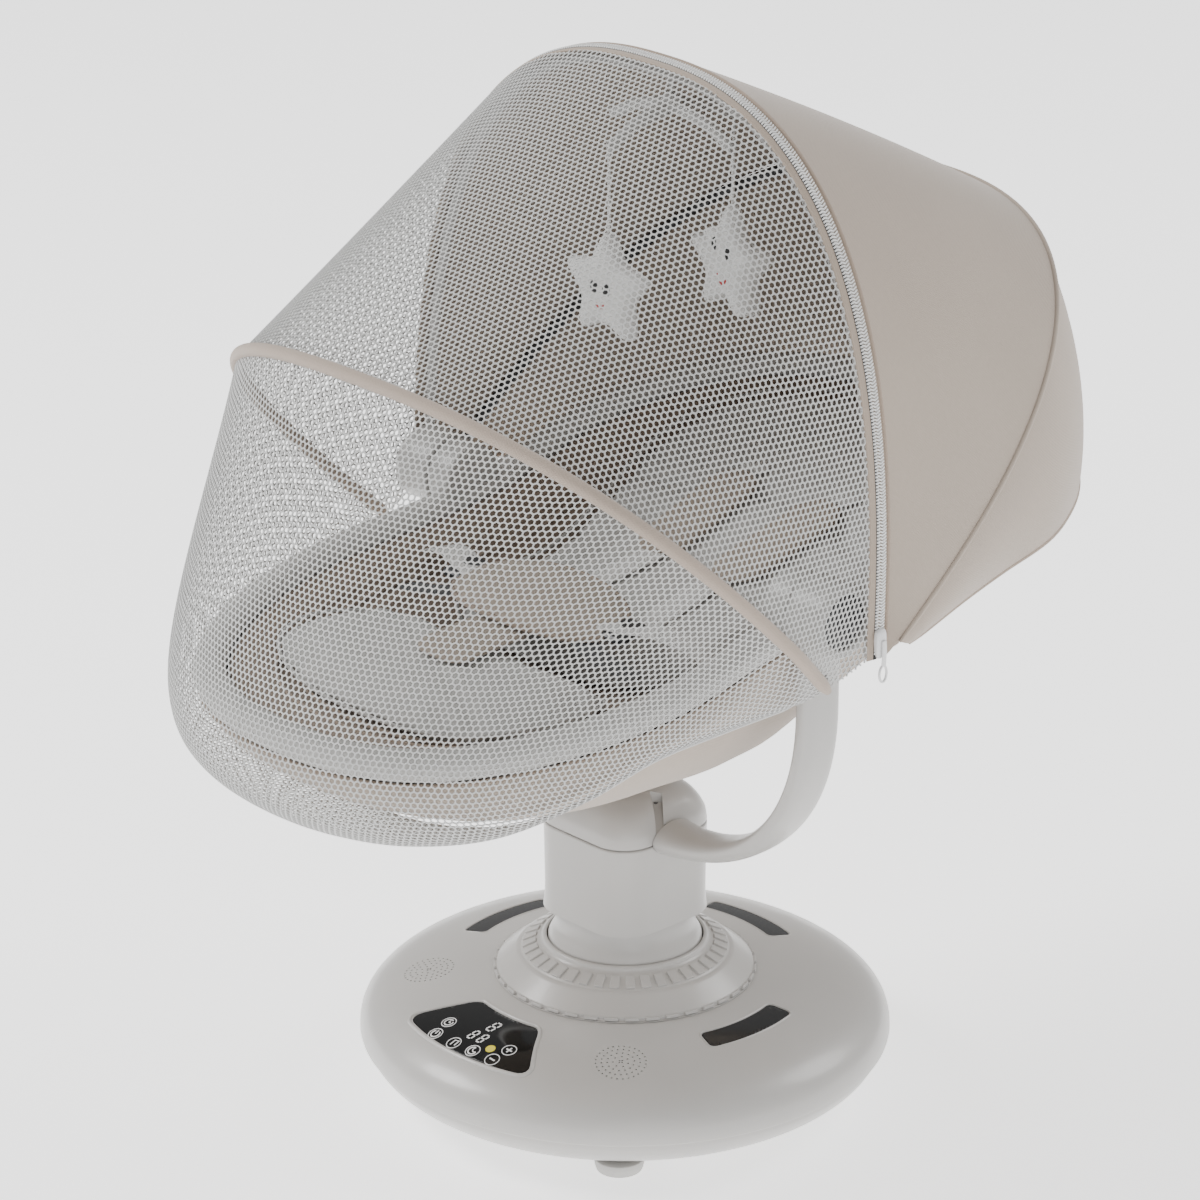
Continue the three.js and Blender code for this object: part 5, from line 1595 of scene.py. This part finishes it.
def build_toy(name, arm, centre_z, turn, face):
    """A stuffed star turned on its cord, with a stitched face on both sides."""
    x, y = ARM_DIRECTIONS[arm]
    at = np.array([MOBILE_REACH * x, MOBILE_Y + MOBILE_REACH * y, centre_z])
    c, s = math.cos(math.radians(turn)), math.sin(math.radians(turn))
    spin = np.array([[c, s, 0], [-s, c, 0], [0, 0, 1]])

    def hung(part):
        return part[0] @ spin + at, part[1]

    outline = star_outline()
    toy = subdivide(make(name, *hung(stuffed(outline, TOY_THICKNESS)), TOY, 180))
    place(toy, "mobile", "toy_fabric", "toy_" + name)
    top = outline[:, 1].max()
    cord = sweep(np.linspace(at + (0, 0, top - 0.003), (at[0], at[1], MOBILE_ARM_END_Z - 0.0025), 8),
                 round_section(0.0012, sides=8))
    place(make(name + "_cord", *cord, WEBBING), "mobile", "toy_fabric")
    eyes, (mouth_x, mouth_z, reach) = face
    button = turned([(0, -1), (0.5, -0.87), (0.87, -0.5), (1, 0), (0.87, 0.5), (0.5, 0.87), (0, 1)], 20)
    dots, mouths = [], []
    for facing in (1, -1):
        for x, z in eyes:
            points = button[0][:, [0, 2, 1]] * (0.0044, 0.0022, 0.0052) + (x, -facing * TOY_FACE_Y, z)
            dots.append(hung((points, button[1])))
        curve = arc((mouth_x, mouth_z), reach, 205, 335, 14)
        line = np.column_stack([curve[:, 0], np.full(14, -facing * TOY_FACE_Y), curve[:, 1]])
        mouths.append(hung(sweep(line, round_section(0.0014, sides=8))))
    place(merged(make(name + "_eyes", *joined(*dots), BLACK_THREAD_AND_GAP_SHADE)), "mobile", "toy_fabric")
    place(make(name + "_smile", *joined(*mouths), RED_THREAD), "mobile", "toy_fabric")


def build_mobile():
    hub = turned(soft_corners([(0, -0.008), (0.006, -0.007), (0.009, -0.001), (0.008, 0.005),
                               (0.004, 0.009), (0, 0.009)], 0.002), 40)
    points, faces = hub
    parts = [(points + (0, MOBILE_Y, MOBILE_HUB_Z), faces)]
    arm = ((0.003, MOBILE_HUB_Z - 0.002), (0.5 * MOBILE_REACH, MOBILE_HUB_Z - 0.007),
           (MOBILE_REACH, MOBILE_ARM_END_Z))
    for x, y in ARM_DIRECTIONS.values():
        line = spline([(reach * x, MOBILE_Y + reach * y, z) for reach, z in arm], 24)
        parts.append(sweep(line, round_section(0.0042, 0.0048, 2.4, 14),
                           scale=np.linspace(1.1, 0.85, 24)))
    place(make("mobile_cross", *joined(*parts), WHITE, 60), "mobile", "white_plastic", "mobile_rotor")
    near_face = (((-0.0062, 0.002), (0.0062, 0.002)), (0, -0.008, 0.0045))
    wide_face = (((-0.0130, 0.010), (0.0130, 0.010)), (0.002, -0.006, 0.0090))
    build_toy("star_front", "front", 0.631, 0, near_face)
    build_toy("star_right", "right", 0.652, -23, wide_face)
    build_toy("star_rear", "rear", 0.620, 0, near_face)


# ---------------------------------------------------------------- the whole object

def paint_inner_parts():
    for name in ("speaker_right", "speaker_left", "bearing_plate", "dc_inlet"):
        paint(name, DARK_PLASTIC_AND_HOLE_SHADE)
    for name in ("upper_bearing", "lower_bearing", "drive_motor", "swing_shaft", "pivot_pin_right",
                 "pivot_pin_left"):
        paint(name, STEEL)
    for name in ("sector_gear", "motor_pinion"):
        paint(name, GEAR)
    paint("control_board", BOARD)


def main():
    add_camera()
    add_studio()
    build_top_shell()
    build_bottom_shell()
    build_feet()
    build_collar()
    build_panel_print()
    build_column()
    build_arms()
    build_rim()
    build_shell()
    build_liner()
    build_cushions()
    build_belly_pad()
    build_straps()
    build_hood()
    build_zip()
    build_nets()
    build_mobile()
    paint_inner_parts()


main()
